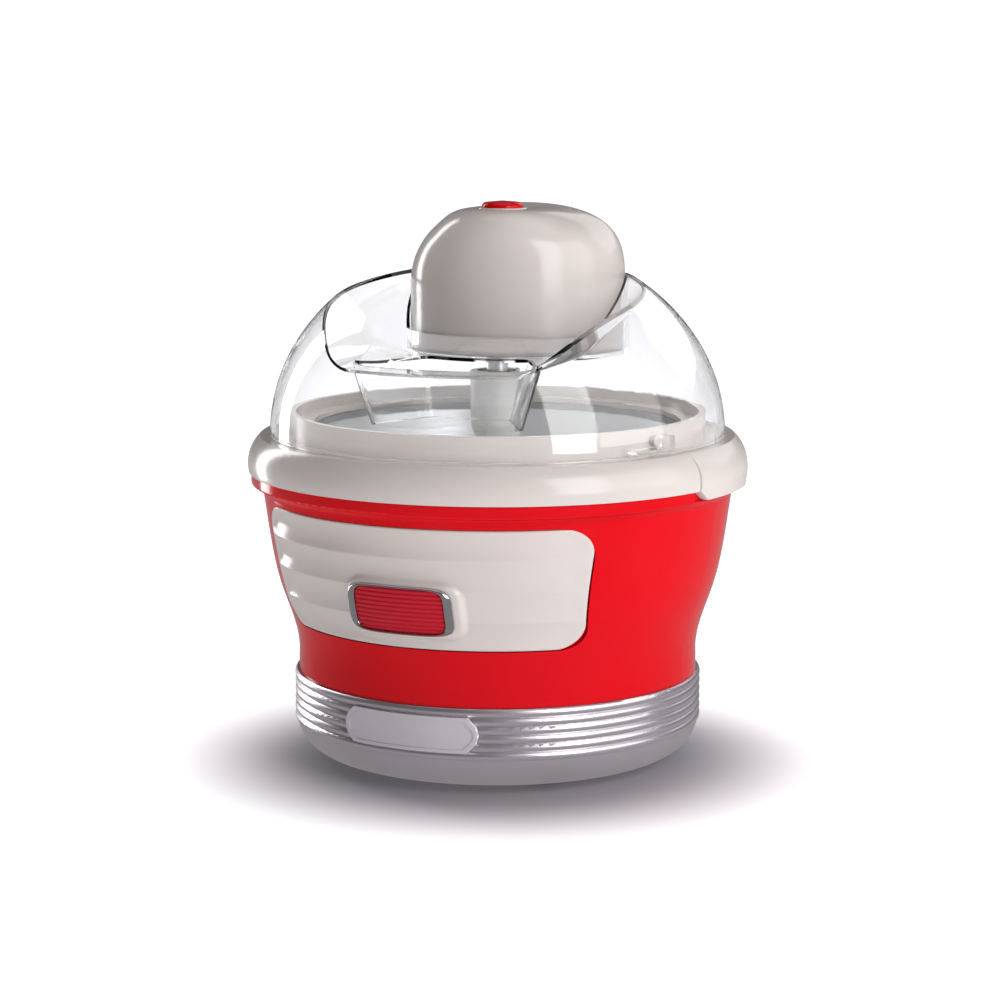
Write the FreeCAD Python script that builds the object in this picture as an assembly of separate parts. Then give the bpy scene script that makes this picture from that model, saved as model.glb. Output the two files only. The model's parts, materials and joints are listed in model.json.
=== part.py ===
import FreeCAD, Part
import math
import os

V = FreeCAD.Vector
UP = V(0, 0, 1)
ORIGIN = V(0, 0, 0)

# Clearances between pieces
SLIDE_GAP = 0.3      # between bodies that lift or turn past each other
SEAT_GAP = 0.15      # between pieces of one body that drop into each other
RUN_GAP = 0.05       # radial running fit of a shaft in its bush

# Silver base shell and its feet
FOOT_HEIGHT = 3.0
FOOT_RADIUS = 8.0
FOOT_SETBACK = 13.0
FOOT_STEM_RADIUS = 3.0
FOOT_COUNT = 4
BASE_WALL = 3.0
BASE_HEIGHT = 38.0
BASE_RIB_COUNT = 6
BASE_RIB_PITCH = 3.9
BASE_RIB_DEPTH = 1.0
BASE_RADIUS = 95.2
BASE_TURN = 19.2
BASE_BAND_WALL = 4.2

# Screws that hold the base to the housing
BASE_SCREW_COUNT = 4
BASE_SCREW_SETBACK = 24.0
SCREW_RADIUS = 1.45
SCREW_HEAD_RADIUS = 3.2
SCREW_HEAD_HEIGHT = 1.6
SCREW_GRIP = 14.0
BOSS_RADIUS = 4.5

# Blank name plate on the ribbed band
PLATE_HALF_WIDTH = 32.5
PLATE_BULGE = 1.6
PLATE_CLIP = 3.0
PLATE_HEIGHT = 16.0
PLATE_THICKNESS = 2.6
PLATE_RIM = 1.5
PLATE_FIELD_DEPTH = 0.6

# Red outer housing
HOUSING_STEP = 2.1
HOUSING_FOOT_HEIGHT = 6.2
HOUSING_WALL = 3.2
HOUSING_FLOOR = 3.0
HOUSING_SKIRT_DEPTH = 6.0
HOUSING_SKIRT_WALL = 2.5
HOUSING_HEIGHT = 93.05
FLANGE_FLARE = 19.3
FLANGE_DEPTH = 5.7
FLANGE_OVERHANG = 5.6
FLANGE_FILLET = 4.0

# Shares of the housing wall's rise and of its swell, from its foot to its neck
FLARE = ((0.189, 0.089), (0.436, 0.494), (0.682, 0.772), (0.928, 0.949))

# Cream front panel
PANEL_HALF_ANGLE = 49.0
PANEL_FOOT_GAP = 19.65
PANEL_NECK_GAP = 1.5
PANEL_CORNER = 12.0
PANEL_INSET = 1.7
PANEL_PROUD = 0.5
PANEL_BORDER = 7.0
FLUTE_COUNT = 4
FLUTE_DEPTH = 1.1
PAD_HALF_WIDTH = 31.0
PAD_RISE = 4.0
PAD_HEIGHT = 26.0
PAD_CORNER = 6.0
PAD_PROUD = 2.2

# Badge on the pad
BADGE_WIDTH = 52.0
BADGE_HEIGHT = 20.0
BADGE_BULGE = 1.6
BADGE_BOW = 2.4
BADGE_CORNER = 2.0
BADGE_RIM = 2.6
BEZEL_PROUD = 2.8
INSERT_PROUD = 1.7
STRIPE_COUNT = 11
STRIPE_DEPTH = 0.5

# Freezing bowl and the pad it stands on
SEAT_PAD_HEIGHT = 3.0
SEAT_PAD_SETBACK = 4.0
SEAT_PAD_WIDTH = 20.0
BOWL_TOP_DROP = 1.0
BOWL_FOOT_GAP = 5.9
BOWL_NECK_GAP = 3.5
BOWL_OUTER_WALL = 2.0
BOWL_LINER_WALL = 1.5
BOWL_FLOOR_RISE = 14.55
BOWL_JACKET_TOP = 7.0
BOWL_JACKET_FOOT = 16.0
BOWL_CORNER = 12.0
BOWL_FOOT_CORNER = 6.0
COOLANT_AIR_SPACE = 7.0
GASKET_HEIGHT = 3.0
GASKET_WIDTH = 5.5
PIVOT_RADIUS = 4.0
PIVOT_HEIGHT = 8.0

# Cream locking ring
RING_OVERHANG = 1.1
RING_LEAN = 5.4
RING_HEIGHT = 16.5
RING_WALL = 2.5
NECK_SETBACK = 9.1
NECK_WALL = 3.0
NECK_HEIGHT = 11.0
RING_LIP_SETBACK = 2.0
RING_LIP_HEIGHT = 2.2
TAB_HALF_ANGLE = 12.0
TAB_DROP = 4.2
TAB_PROUD = 0.9
TAB_SLANT = 5.0
TAB_NOTCH_EXTRA = 3.5
PEG_ANGLES = (70.0, -70.0, 180.0)
PEG_RADIUS = 2.5
PEG_LENGTH = 3.0
PEG_RISE = 5.6

# Clear lid
LID_SETBACK = 4.6
LID_RISE = 90.0
LID_WALL = 1.8
LID_TURN = 20.0
LID_SET_ANGLE = 4.5
RIDGE_HEIGHT = 1.9
RIDGE_FREE_ANGLE = 7.0
RIDGE_STOP = 2.0
RIDGE_STOP_HEIGHT = 7.0
SCOOP_RISE = 37.2
SCOOP_HALF_WIDTH = 45.5
SCOOP_CENTRE_Y = -26.7
SCOOP_FILLET = 24.0
COLLAR_HEIGHT = 9.3
SHAFT_HOLE_RADIUS = 11.0
CHUTE_SETBACK = 24.6
CHUTE_HALF_ANGLE = 33.0
CHUTE_INNER_HALF_WIDTH = 24.0
CHUTE_COLLAR_GAP = 4.0
CHUTE_DEPTH = 27.0
CHUTE_TAPER = 6.0
CHUTE_WALL = 1.6
CHUTE_CORNER = 5.0

# Motor unit
MOTOR_AXIS_Y = 27.3
MOTOR_RADIUS = 50.4
MOTOR_SOCKET_GAP = 0.6
MOTOR_HEIGHT = 67.2
CROWN_RISE = 35.5
COVER_WALL = 2.2
COVER_LEDGE = 2.0
CROWN_FULLNESS = 2.25
CROWN_SLANT = 0.08
MOTOR_PLATE = 2.5
BUTTON_Y = 6.5
BUTTON_RADIUS = 9.6
BUTTON_STAND = 6.6
BUTTON_EDGE = 2.2
BUTTON_SWELL = 0.7
BUTTON_TRAVEL = 2.5
BUTTON_DISH_RADIUS = 11.6
BUTTON_DISH_DEPTH = 0.6
BUTTON_GUIDE = 3.6
BUTTON_FLANGE = 1.4
BUTTON_FLANGE_HEIGHT = 1.5
BUTTON_STEM_RADIUS = 3.0
BUTTON_STEM_LENGTH = 4.0
SWITCH_WIDTH = 15.0
SWITCH_HEIGHT = 15.0
GLAND_LIFT = 11.752
GLAND_RADIUS = 4.5
GLAND_BORE = 3.2
GLAND_FLANGE = 2.0

# Gear train
COARSE_MODULE = 0.8
FINE_MODULE = 0.6
OUTPUT_TEETH = 48
IDLER_SMALL_TEETH = 12
IDLER_LARGE_TEETH = 45
PINION_TEETH = 10
GEAR_BACKLASH = 0.12
PRESSURE_ANGLE = 25.0
COARSE_GEAR_RISE = 4.7
COARSE_GEAR_WIDTH = 6.0
GEAR_STEP = 1.5
FINE_GEAR_WIDTH = 4.5
GEAR_PLATE_GAP = 2.0
GEAR_PLATE_THICKNESS = 2.5
GEAR_PLATE_RADIUS = 42.0
POST_RADIUS = 4.0
POST_CIRCLE = 36.0
POST_ANGLES = (25.0, 155.0, 205.0, 335.0)
OUTPUT_SHAFT_RADIUS = 5.0
OUTPUT_JOURNAL_RADIUS = 4.0
OUTPUT_BUSH_WALL = 2.5
OUTPUT_BUSH_FLANGE = 1.5
IDLER_PIN_RADIUS = 1.5
PINION_SHAFT_RADIUS = 1.0
PINION_SHAFT_GRIP = 4.0
MOTOR_CAN_RADIUS = 14.0
MOTOR_CAN_HEADROOM = 16.5

# Drive tang and mixing paddle
TANG_WIDTH = 15.0
TANG_THICKNESS = 4.0
TANG_LENGTH = 9.0
TANG_REACH = 20.5
HUB_RADIUS = 12.5
HUB_WALL = 3.0
HUB_DROP = 8.5
DOG_ANGLE = 62.0
DOG_HALF_ANGLE = 10.0
DOG_DEPTH = 3.5
PADDLE_THICKNESS = 4.0
PADDLE_DROP = 6.0
PADDLE_GAP = 1.6
PADDLE_RIB = 11.0
PADDLE_STEM_RADIUS = 8.0
PADDLE_CORNER = 10.0

# Base and housing places that follow from the driving sizes
BASE_TOP_Z = FOOT_HEIGHT + BASE_HEIGHT
BASE_FLOOR_TOP = FOOT_HEIGHT + BASE_WALL
BASE_BAND_LOW_Z = BASE_TOP_Z - BASE_RIB_COUNT * BASE_RIB_PITCH
BASE_FLAT_RADIUS = BASE_RADIUS - BASE_TURN
BASE_INNER_RADIUS = BASE_RADIUS - BASE_BAND_WALL
FOOT_CIRCLE = BASE_FLAT_RADIUS - FOOT_SETBACK
BASE_SCREW_CIRCLE = BASE_FLAT_RADIUS - BASE_SCREW_SETBACK
PLATE_MID_Z = (BASE_BAND_LOW_Z + BASE_TOP_Z) / 2
HOUSING_BOTTOM_Z = BASE_TOP_Z + SEAT_GAP
HOUSING_TOP_Z = HOUSING_BOTTOM_Z + HOUSING_HEIGHT
HOUSING_FOOT_RADIUS = BASE_RADIUS - HOUSING_STEP
HOUSING_FOOT_TOP = HOUSING_BOTTOM_Z + HOUSING_FOOT_HEIGHT
HOUSING_FLOOR_TOP = HOUSING_BOTTOM_Z + HOUSING_FLOOR
FLANGE_NECK_Z = HOUSING_TOP_Z - FLANGE_DEPTH - FLANGE_FILLET
FLANGE_RADIUS = BASE_RADIUS + FLANGE_FLARE
FLANGE_NECK_RADIUS = FLANGE_RADIUS - FLANGE_OVERHANG
PANEL_LOW_Z = HOUSING_FOOT_TOP + PANEL_FOOT_GAP
PANEL_HIGH_Z = FLANGE_NECK_Z - PANEL_NECK_GAP
PAD_LOW_Z = PANEL_LOW_Z + PAD_RISE
PAD_HIGH_Z = PAD_LOW_Z + PAD_HEIGHT
BADGE_MID_Z = (PAD_LOW_Z + PAD_HIGH_Z) / 2

# Ring, lid and bowl places that follow from the housing
RING_RADIUS = FLANGE_RADIUS + RING_OVERHANG
RING_SHOULDER_RADIUS = RING_RADIUS - RING_LEAN
RING_BOTTOM_Z = HOUSING_TOP_Z + SLIDE_GAP
RING_SHOULDER_Z = RING_BOTTOM_Z + RING_HEIGHT
LID_RADIUS = RING_SHOULDER_RADIUS - LID_SETBACK
LID_BOTTOM_Z = RING_SHOULDER_Z + SLIDE_GAP
LID_CENTRE_Z = LID_BOTTOM_Z
RIDGE_LENGTH = LID_TURN - RIDGE_FREE_ANGLE
NECK_RADIUS = LID_RADIUS - NECK_SETBACK
NECK_TOP_Z = RING_SHOULDER_Z + NECK_HEIGHT
PEG_Z = RING_SHOULDER_Z + PEG_RISE
BOWL_TOP_RADIUS = NECK_RADIUS - NECK_WALL - BOWL_NECK_GAP
BOWL_FOOT_RADIUS = HOUSING_FOOT_RADIUS - HOUSING_WALL - BOWL_FOOT_GAP
BOWL_MOUTH_RADIUS = BOWL_TOP_RADIUS - BOWL_JACKET_TOP
BOWL_FLOOR_RADIUS = BOWL_FOOT_RADIUS - BOWL_JACKET_FOOT
RING_LIP_RADIUS = BOWL_MOUTH_RADIUS + RING_LIP_SETBACK
SEAT_PAD_OUTER = BOWL_FOOT_RADIUS - SEAT_PAD_SETBACK
SEAT_PAD_INNER = SEAT_PAD_OUTER - SEAT_PAD_WIDTH
SEAT_TOP_Z = HOUSING_FLOOR_TOP + SEAT_PAD_HEIGHT
BOWL_BOTTOM_Z = SEAT_TOP_Z + SLIDE_GAP
BOWL_FLOOR_Z = BOWL_BOTTOM_Z + BOWL_FLOOR_RISE
BOWL_TOP_Z = RING_SHOULDER_Z - BOWL_TOP_DROP
BOWL_LIP_TOP = BOWL_TOP_Z + BOWL_LINER_WALL
GASKET_TOP = BOWL_LIP_TOP + GASKET_HEIGHT

# Motor, gear and paddle places that follow from the lid
SCOOP_FLOOR_Z = LID_BOTTOM_Z + SCOOP_RISE
CHUTE_OUTER_RADIUS = LID_RADIUS - CHUTE_SETBACK
SOCKET_RADIUS = MOTOR_RADIUS + MOTOR_SOCKET_GAP
MOTOR_AXIS = V(0, MOTOR_AXIS_Y, 0)
MOTOR_BOTTOM_Z = SCOOP_FLOOR_Z + SLIDE_GAP
MOTOR_TOP_Z = MOTOR_BOTTOM_Z + MOTOR_HEIGHT
MOTOR_SHOULDER_Z = MOTOR_TOP_Z - CROWN_RISE
MOTOR_PLATE_TOP = MOTOR_BOTTOM_Z + MOTOR_PLATE
DOME_SHARE = math.sqrt(1 - ((MOTOR_AXIS_Y + MOTOR_RADIUS) / LID_RADIUS) ** 2)
GLAND_Z = LID_CENTRE_Z + LID_RISE * DOME_SHARE + GLAND_LIFT
COARSE_GEAR_Z = MOTOR_PLATE_TOP + COARSE_GEAR_RISE
FINE_GEAR_Z = COARSE_GEAR_Z + COARSE_GEAR_WIDTH + GEAR_STEP
GEAR_PLATE_Z = FINE_GEAR_Z + FINE_GEAR_WIDTH + GEAR_PLATE_GAP
GEAR_PLATE_TOP = GEAR_PLATE_Z + GEAR_PLATE_THICKNESS
MOTOR_CAN_HEIGHT = MOTOR_TOP_Z - MOTOR_CAN_HEADROOM - GEAR_PLATE_TOP
IDLER_Y = COARSE_MODULE * (OUTPUT_TEETH + IDLER_SMALL_TEETH) / 2
PINION_Y = IDLER_Y + FINE_MODULE * (IDLER_LARGE_TEETH + PINION_TEETH) / 2
TANG_TIP_Z = SCOOP_FLOOR_Z - TANG_REACH
HUB_TOP_Z = SCOOP_FLOOR_Z - HUB_DROP
PADDLE_TOP_Z = BOWL_TOP_Z - PADDLE_DROP


# Helpers for outlines, solids of revolution and patterns

def point(radius, height):
    return V(radius, 0, height)


def line(start, end):
    return Part.makeLine(start, end)


def arc(start, middle, end):
    return Part.Arc(start, middle, end).toShape()


def curve(points, start=None, end=None):
    spline = Part.BSplineCurve()
    if start is None:
        spline.interpolate(points)
    else:
        spline.interpolate(Points=points, InitialTangent=start, FinalTangent=end)
    return spline.toShape()


def chain(points):
    return [line(a, b) for a, b in zip(points, points[1:])]


def revolve(edges, centre=ORIGIN, angle=360.0):
    face = Part.Face(Part.Wire(Part.__sortEdges__(edges)))
    solid = face.revolve(ORIGIN, UP, angle)
    solid.translate(centre)
    return solid


def revolve_points(pairs, centre=ORIGIN, angle=360.0):
    points = [point(r, z) for r, z in pairs]
    return revolve(chain(points + points[:1]), centre, angle)


def tube(outer, inner, low, high, centre=ORIGIN):
    return revolve_points([(inner, low), (outer, low), (outer, high), (inner, high)], centre)


def disc(radius, low, high, centre=ORIGIN):
    return Part.makeCylinder(radius, high - low, V(centre.x, centre.y, low))


def turned(shape, angle, centre=ORIGIN):
    copy = shape.copy()
    copy.rotate(centre, UP, angle)
    return copy


def around(shape, angles, centre=ORIGIN):
    return [turned(shape, angle, centre) for angle in angles]


def even_angles(count, first=0.0):
    return [first + 360.0 * index / count for index in range(count)]


def polar(radius, angle):
    return V(radius * math.cos(math.radians(angle)), radius * math.sin(math.radians(angle)), 0)


def fuse(shapes):
    return shapes[0].multiFuse(shapes[1:]).removeSplitter()


def front_angle(degrees):
    return degrees - 90.0


def sector(outer, inner, low, high, middle, half):
    ring = revolve_points([(inner, low), (outer, low), (outer, high), (inner, high)], ORIGIN, 2 * half)
    return turned(ring, middle - half)


def front_prism(edges):
    """Solid that runs back along +Y from in front of the object, from an outline drawn in the XZ plane."""
    face = Part.Face(Part.Wire(Part.__sortEdges__(edges)))
    face.translate(V(0, -2 * RING_RADIUS, 0))
    return face.extrude(V(0, 2 * RING_RADIUS, 0))


def corner_arc(before, here, after, radius):
    """Start, middle and end of the arc that rounds one corner of an outline."""
    back = (before - here).normalize()
    ahead = (after - here).normalize()
    half = back.getAngle(ahead) / 2
    reach = radius / math.tan(half)
    inward = (back + ahead).normalize()
    middle = here + inward * (radius / math.sin(half) - radius)
    return here + back * reach, middle, here + ahead * reach


def rounded_outline(corners, radius):
    """Closed outline with every corner rounded by the same radius."""
    edges = []
    count = len(corners)
    ends = [
        corner_arc(corners[index - 1], corners[index], corners[(index + 1) % count], radius)
        for index in range(count)
    ]
    for index in range(count):
        start, middle, end = ends[index]
        edges.append(arc(start, middle, end))
        edges.append(line(end, ends[(index + 1) % count][0]))
    return edges


def badge_outline(inset):
    """Badge outline with a straight top edge, bulging ends and a bowed bottom edge."""
    half = BADGE_WIDTH / 2 - inset
    side = half - BADGE_BULGE
    top = BADGE_MID_Z + BADGE_HEIGHT / 2 - inset
    bottom = BADGE_MID_Z - BADGE_HEIGHT / 2 + inset
    low = bottom + BADGE_BOW
    corner = BADGE_CORNER
    waist = (top - corner + low) / 2
    right = [V(side - corner, 0, top), V(side, 0, top - corner), V(half, 0, waist), V(side, 0, low)]
    left = [V(-p.x, 0, p.z) for p in right]
    share = math.sqrt(0.5)
    bend = V(side - corner + corner * share, 0, top - corner + corner * share)
    return [
        line(left[0], right[0]), arc(right[0], bend, right[1]), arc(right[1], right[2], right[3]),
        arc(right[3], V(0, 0, bottom), left[3]), arc(left[3], left[2], left[1]),
        arc(left[1], V(-bend.x, 0, bend.z), left[0]),
    ]


def save(name, shape):
    shape.exportStep("parts/" + name + ".step")
    print(name, len(shape.Solids), "solid(s)", round(shape.Volume / 1000, 2), "cm3", shape.isValid())


os.makedirs("parts", exist_ok=True)


# Silver base shell

def base_curve(radius, floor):
    """Quarter round from the ribbed band down to the flat bottom."""
    wide = radius - BASE_FLAT_RADIUS
    tall = BASE_BAND_LOW_Z - floor
    share = math.sqrt(0.5)
    middle = point(BASE_FLAT_RADIUS + wide * share, BASE_BAND_LOW_Z - tall * share)
    return point(radius, BASE_BAND_LOW_Z), middle, point(BASE_FLAT_RADIUS, floor)


def base_ribs():
    valley = BASE_RADIUS - BASE_RIB_DEPTH
    edges = []
    for index in range(BASE_RIB_COUNT):
        high = BASE_TOP_Z - index * BASE_RIB_PITCH
        low = high - BASE_RIB_PITCH
        edges.append(arc(point(valley, high), point(BASE_RADIUS, (high + low) / 2), point(valley, low)))
    return edges


def clipped_plate(grow):
    """Name plate outline: clipped corners and gently bulging ends."""
    half = PLATE_HALF_WIDTH + grow
    side = half - PLATE_BULGE
    top = PLATE_MID_Z + PLATE_HEIGHT / 2 + grow
    low = PLATE_MID_Z - PLATE_HEIGHT / 2 - grow
    clip = PLATE_CLIP
    right = [V(side - clip, 0, top), V(side, 0, top - clip), V(half, 0, PLATE_MID_Z),
             V(side, 0, low + clip), V(side - clip, 0, low)]
    left = [V(-p.x, 0, p.z) for p in right]
    return [
        line(left[0], right[0]), line(right[0], right[1]), arc(right[1], right[2], right[3]),
        line(right[3], right[4]), line(right[4], left[4]), line(left[4], left[3]),
        arc(left[3], left[2], left[1]), line(left[1], left[0]),
    ]


PLATE_SEAT_RADIUS = BASE_RADIUS - BASE_RIB_DEPTH - SEAT_GAP
PLATE_FACE_RADIUS = PLATE_SEAT_RADIUS + PLATE_THICKNESS


def screw_spots():
    return [polar(BASE_SCREW_CIRCLE, angle) for angle in even_angles(BASE_SCREW_COUNT)]


def foot_spots():
    return [polar(FOOT_CIRCLE, angle) for angle in even_angles(FOOT_COUNT, 180.0 / FOOT_COUNT)]


def base_shell():
    valley = BASE_RADIUS - BASE_RIB_DEPTH
    out_high, out_middle, out_low = base_curve(valley, FOOT_HEIGHT)
    in_high, in_middle, in_low = base_curve(BASE_INNER_RADIUS, BASE_FLOOR_TOP)
    edges = base_ribs()
    edges.append(arc(out_high, out_middle, out_low))
    edges += chain([out_low, point(0, FOOT_HEIGHT), point(0, BASE_FLOOR_TOP), in_low])
    edges.append(arc(in_low, in_middle, in_high))
    edges += chain([in_high, point(BASE_INNER_RADIUS, BASE_TOP_Z), point(valley, BASE_TOP_Z)])
    shell = revolve(edges)
    outside = tube(2 * BASE_RADIUS, PLATE_SEAT_RADIUS, FOOT_HEIGHT, BASE_TOP_Z)
    pocket = front_prism(clipped_plate(SEAT_GAP)).common(outside)
    cuts = [pocket]
    for spot in screw_spots():
        cuts.append(disc(SCREW_RADIUS + SEAT_GAP, 0, BASE_FLOOR_TOP, spot))
        cuts.append(disc(SCREW_HEAD_RADIUS + SEAT_GAP, 0, FOOT_HEIGHT + SCREW_HEAD_HEIGHT, spot))
    for spot in foot_spots():
        cuts.append(disc(FOOT_STEM_RADIUS + SEAT_GAP, 0, BASE_FLOOR_TOP, spot))
    return shell.cut(cuts)


def rubber_feet():
    barb = FOOT_STEM_RADIUS + SEAT_GAP * 4
    outline = [
        (0, 0), (FOOT_RADIUS - 1.0, 0), (FOOT_RADIUS, 1.0), (FOOT_RADIUS, FOOT_HEIGHT),
        (FOOT_STEM_RADIUS, FOOT_HEIGHT), (FOOT_STEM_RADIUS, BASE_FLOOR_TOP),
        (barb, BASE_FLOOR_TOP + SEAT_GAP), (FOOT_STEM_RADIUS - 0.6, BASE_FLOOR_TOP + 3.0),
        (0, BASE_FLOOR_TOP + 3.0),
    ]
    return Part.makeCompound([revolve_points(outline, spot) for spot in foot_spots()])


def screw(spot, head_low):
    head_top = head_low + SCREW_HEAD_HEIGHT
    head = disc(SCREW_HEAD_RADIUS, head_low, head_top, spot)
    shank = disc(SCREW_RADIUS, head_top, head_top + SCREW_GRIP, spot)
    slot = Part.makeBox(0.8, 4.0, 0.8, V(spot.x - 0.4, spot.y - 2.0, head_low))
    cross = slot.copy()
    cross.rotate(spot, UP, 90)
    return fuse([head, shank]).cut([slot, cross])


def base_screws():
    return Part.makeCompound([screw(spot, FOOT_HEIGHT) for spot in screw_spots()])


def name_plate():
    ring = tube(PLATE_FACE_RADIUS, PLATE_SEAT_RADIUS + SEAT_GAP, 0, HOUSING_TOP_Z)
    plate = front_prism(clipped_plate(0)).common(ring)
    outside = tube(2 * BASE_RADIUS, PLATE_FACE_RADIUS - PLATE_FIELD_DEPTH, 0, HOUSING_TOP_Z)
    field = front_prism(clipped_plate(-PLATE_RIM)).common(outside)
    return plate.cut(field)


# Red housing and what is set into its front

def wall_points(offset):
    """Points of the flaring wall, moved outwards along the wall's own slope."""
    pairs = [(HOUSING_FOOT_RADIUS, HOUSING_FOOT_TOP)]
    tall = FLANGE_NECK_Z - HOUSING_FOOT_TOP
    swell = FLANGE_NECK_RADIUS - HOUSING_FOOT_RADIUS
    pairs += [(HOUSING_FOOT_RADIUS + swell * out, HOUSING_FOOT_TOP + tall * up) for up, out in FLARE]
    pairs.append((FLANGE_NECK_RADIUS, FLANGE_NECK_Z))
    moved = [point(pairs[0][0] + offset, pairs[0][1])]
    for before, here, after in zip(pairs, pairs[1:], pairs[2:]):
        across = V(after[1] - before[1], 0, before[0] - after[0]).normalize()
        moved.append(point(*here) + across * offset)
    moved.append(point(pairs[-1][0] + offset, pairs[-1][1]))
    return moved


def wall_radius(height):
    """Outer radius of the housing wall at a height, straight between its points."""
    points = wall_points(0)
    for low, high in zip(points, points[1:]):
        if height <= high.z:
            share = (height - low.z) / (high.z - low.z)
            return low.x + (high.x - low.x) * share
    return points[-1].x


def skin(inner, outer):
    """Closed ring between two offsets of the housing wall."""
    inside = wall_points(inner)
    outside = wall_points(outer)
    edges = [curve(outside), line(outside[-1], inside[-1]), curve(inside), line(inside[0], outside[0])]
    return revolve(edges)


def panel_outline(grow, corner):
    """Panel outline seen from the front: its sides keep the same angle round the housing."""
    share = math.sin(math.radians(PANEL_HALF_ANGLE))
    low = PANEL_LOW_Z - grow
    high = PANEL_HIGH_Z + grow
    wide_low = wall_radius(PANEL_LOW_Z) * share + grow
    wide_high = wall_radius(PANEL_HIGH_Z) * share + grow
    corners = [V(-wide_low, 0, low), V(wide_low, 0, low), V(wide_high, 0, high), V(-wide_high, 0, high)]
    return rounded_outline(corners, corner)


def tab_notches():
    low = RING_BOTTOM_Z - TAB_DROP - SLIDE_GAP
    inner = RING_RADIUS - RING_WALL - SLIDE_GAP
    half = TAB_HALF_ANGLE + TAB_NOTCH_EXTRA
    return [sector(2 * RING_RADIUS, inner, low, RING_BOTTOM_Z, middle, half) for middle in (0, 180)]


def outer_housing():
    outside = wall_points(0)
    inside = wall_points(-HOUSING_WALL)
    neck = outside[-1]
    turn = FLANGE_RADIUS - FLANGE_NECK_RADIUS - FLANGE_FILLET
    share = math.sqrt(0.5)
    under = point(neck.x + FLANGE_FILLET, neck.z + FLANGE_FILLET)
    hollow = point(under.x - FLANGE_FILLET * share, neck.z + FLANGE_FILLET * share)
    edge = point(FLANGE_RADIUS, under.z + turn)
    bulge = point(under.x + turn * share, edge.z - turn * share)
    foot_in = point(inside[0].x, HOUSING_FLOOR_TOP)
    edges = [line(point(HOUSING_FOOT_RADIUS, HOUSING_BOTTOM_Z), outside[0]), curve(outside)]
    edges += [arc(neck, hollow, under), arc(under, bulge, edge)]
    edges += chain([edge, point(FLANGE_RADIUS, HOUSING_TOP_Z), point(inside[-1].x, HOUSING_TOP_Z),
                    inside[-1]])
    edges.append(curve(inside))
    edges += chain([inside[0], foot_in, point(0, HOUSING_FLOOR_TOP), point(0, HOUSING_BOTTOM_Z),
                    point(HOUSING_FOOT_RADIUS, HOUSING_BOTTOM_Z)])
    shell = revolve(edges)
    skirt_outer = BASE_INNER_RADIUS - SEAT_GAP
    skirt = tube(skirt_outer, skirt_outer - HOUSING_SKIRT_WALL, HOUSING_BOTTOM_Z - HOUSING_SKIRT_DEPTH,
                 HOUSING_FLOOR_TOP - HOUSING_FLOOR / 2)
    bosses = [disc(BOSS_RADIUS, BASE_FLOOR_TOP, HOUSING_FLOOR_TOP - HOUSING_FLOOR / 2, spot)
              for spot in screw_spots()]
    pilot_top = FOOT_HEIGHT + SCREW_HEAD_HEIGHT + SCREW_GRIP + 2.0
    pilots = [disc(SCREW_RADIUS + RUN_GAP, BASE_FLOOR_TOP, pilot_top, spot) for spot in screw_spots()]
    pocket = skin(-PANEL_INSET - SEAT_GAP, 2 * PANEL_INSET)
    pocket = pocket.common(front_prism(panel_outline(SEAT_GAP, PANEL_CORNER)))
    return fuse([shell, skirt] + bosses).cut(pilots + [pocket] + tab_notches())


def seat_pad():
    return tube(SEAT_PAD_OUTER, SEAT_PAD_INNER, HOUSING_FLOOR_TOP, SEAT_TOP_Z)


def fluted_skin():
    """Ring whose outer face is a stack of convex flutes."""
    pitch = (PANEL_HIGH_Z - PANEL_LOW_Z) / FLUTE_COUNT
    edges = []
    for index in range(FLUTE_COUNT):
        low = PANEL_LOW_Z + index * pitch
        middle = low + pitch / 2
        high = low + pitch
        valley_low = point(wall_radius(low) + PANEL_PROUD - FLUTE_DEPTH, low)
        valley_high = point(wall_radius(high) + PANEL_PROUD - FLUTE_DEPTH, high)
        edges.append(arc(valley_low, point(wall_radius(middle) + PANEL_PROUD, middle), valley_high))
    first = edges[0].Vertexes[0].Point
    last = edges[-1].Vertexes[-1].Point
    back_high = point(wall_radius(PANEL_HIGH_Z) - 2 * PANEL_INSET, PANEL_HIGH_Z)
    back_low = point(wall_radius(PANEL_LOW_Z) - 2 * PANEL_INSET, PANEL_LOW_Z)
    edges += chain([last, back_high, back_low, first])
    return revolve(edges)


def pad_outline():
    corners = [V(-PAD_HALF_WIDTH, 0, PAD_LOW_Z), V(PAD_HALF_WIDTH, 0, PAD_LOW_Z),
               V(PAD_HALF_WIDTH, 0, PAD_HIGH_Z), V(-PAD_HALF_WIDTH, 0, PAD_HIGH_Z)]
    return rounded_outline(corners, PAD_CORNER)


def front_panel():
    blank = skin(-PANEL_INSET, PANEL_PROUD).common(front_prism(panel_outline(0, PANEL_CORNER)))
    window = front_prism(panel_outline(-PANEL_BORDER, PANEL_CORNER - PANEL_BORDER / 2))
    flutes = blank.common(fluted_skin()).common(window)
    pad = skin(-PANEL_INSET, PAD_PROUD).common(front_prism(pad_outline()))
    return fuse([blank.cut(window), flutes, pad])


def badge_bezel():
    ring = skin(PAD_PROUD + SEAT_GAP, PAD_PROUD + BEZEL_PROUD)
    return ring.common(front_prism(badge_outline(0)).cut(front_prism(badge_outline(BADGE_RIM))))


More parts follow.
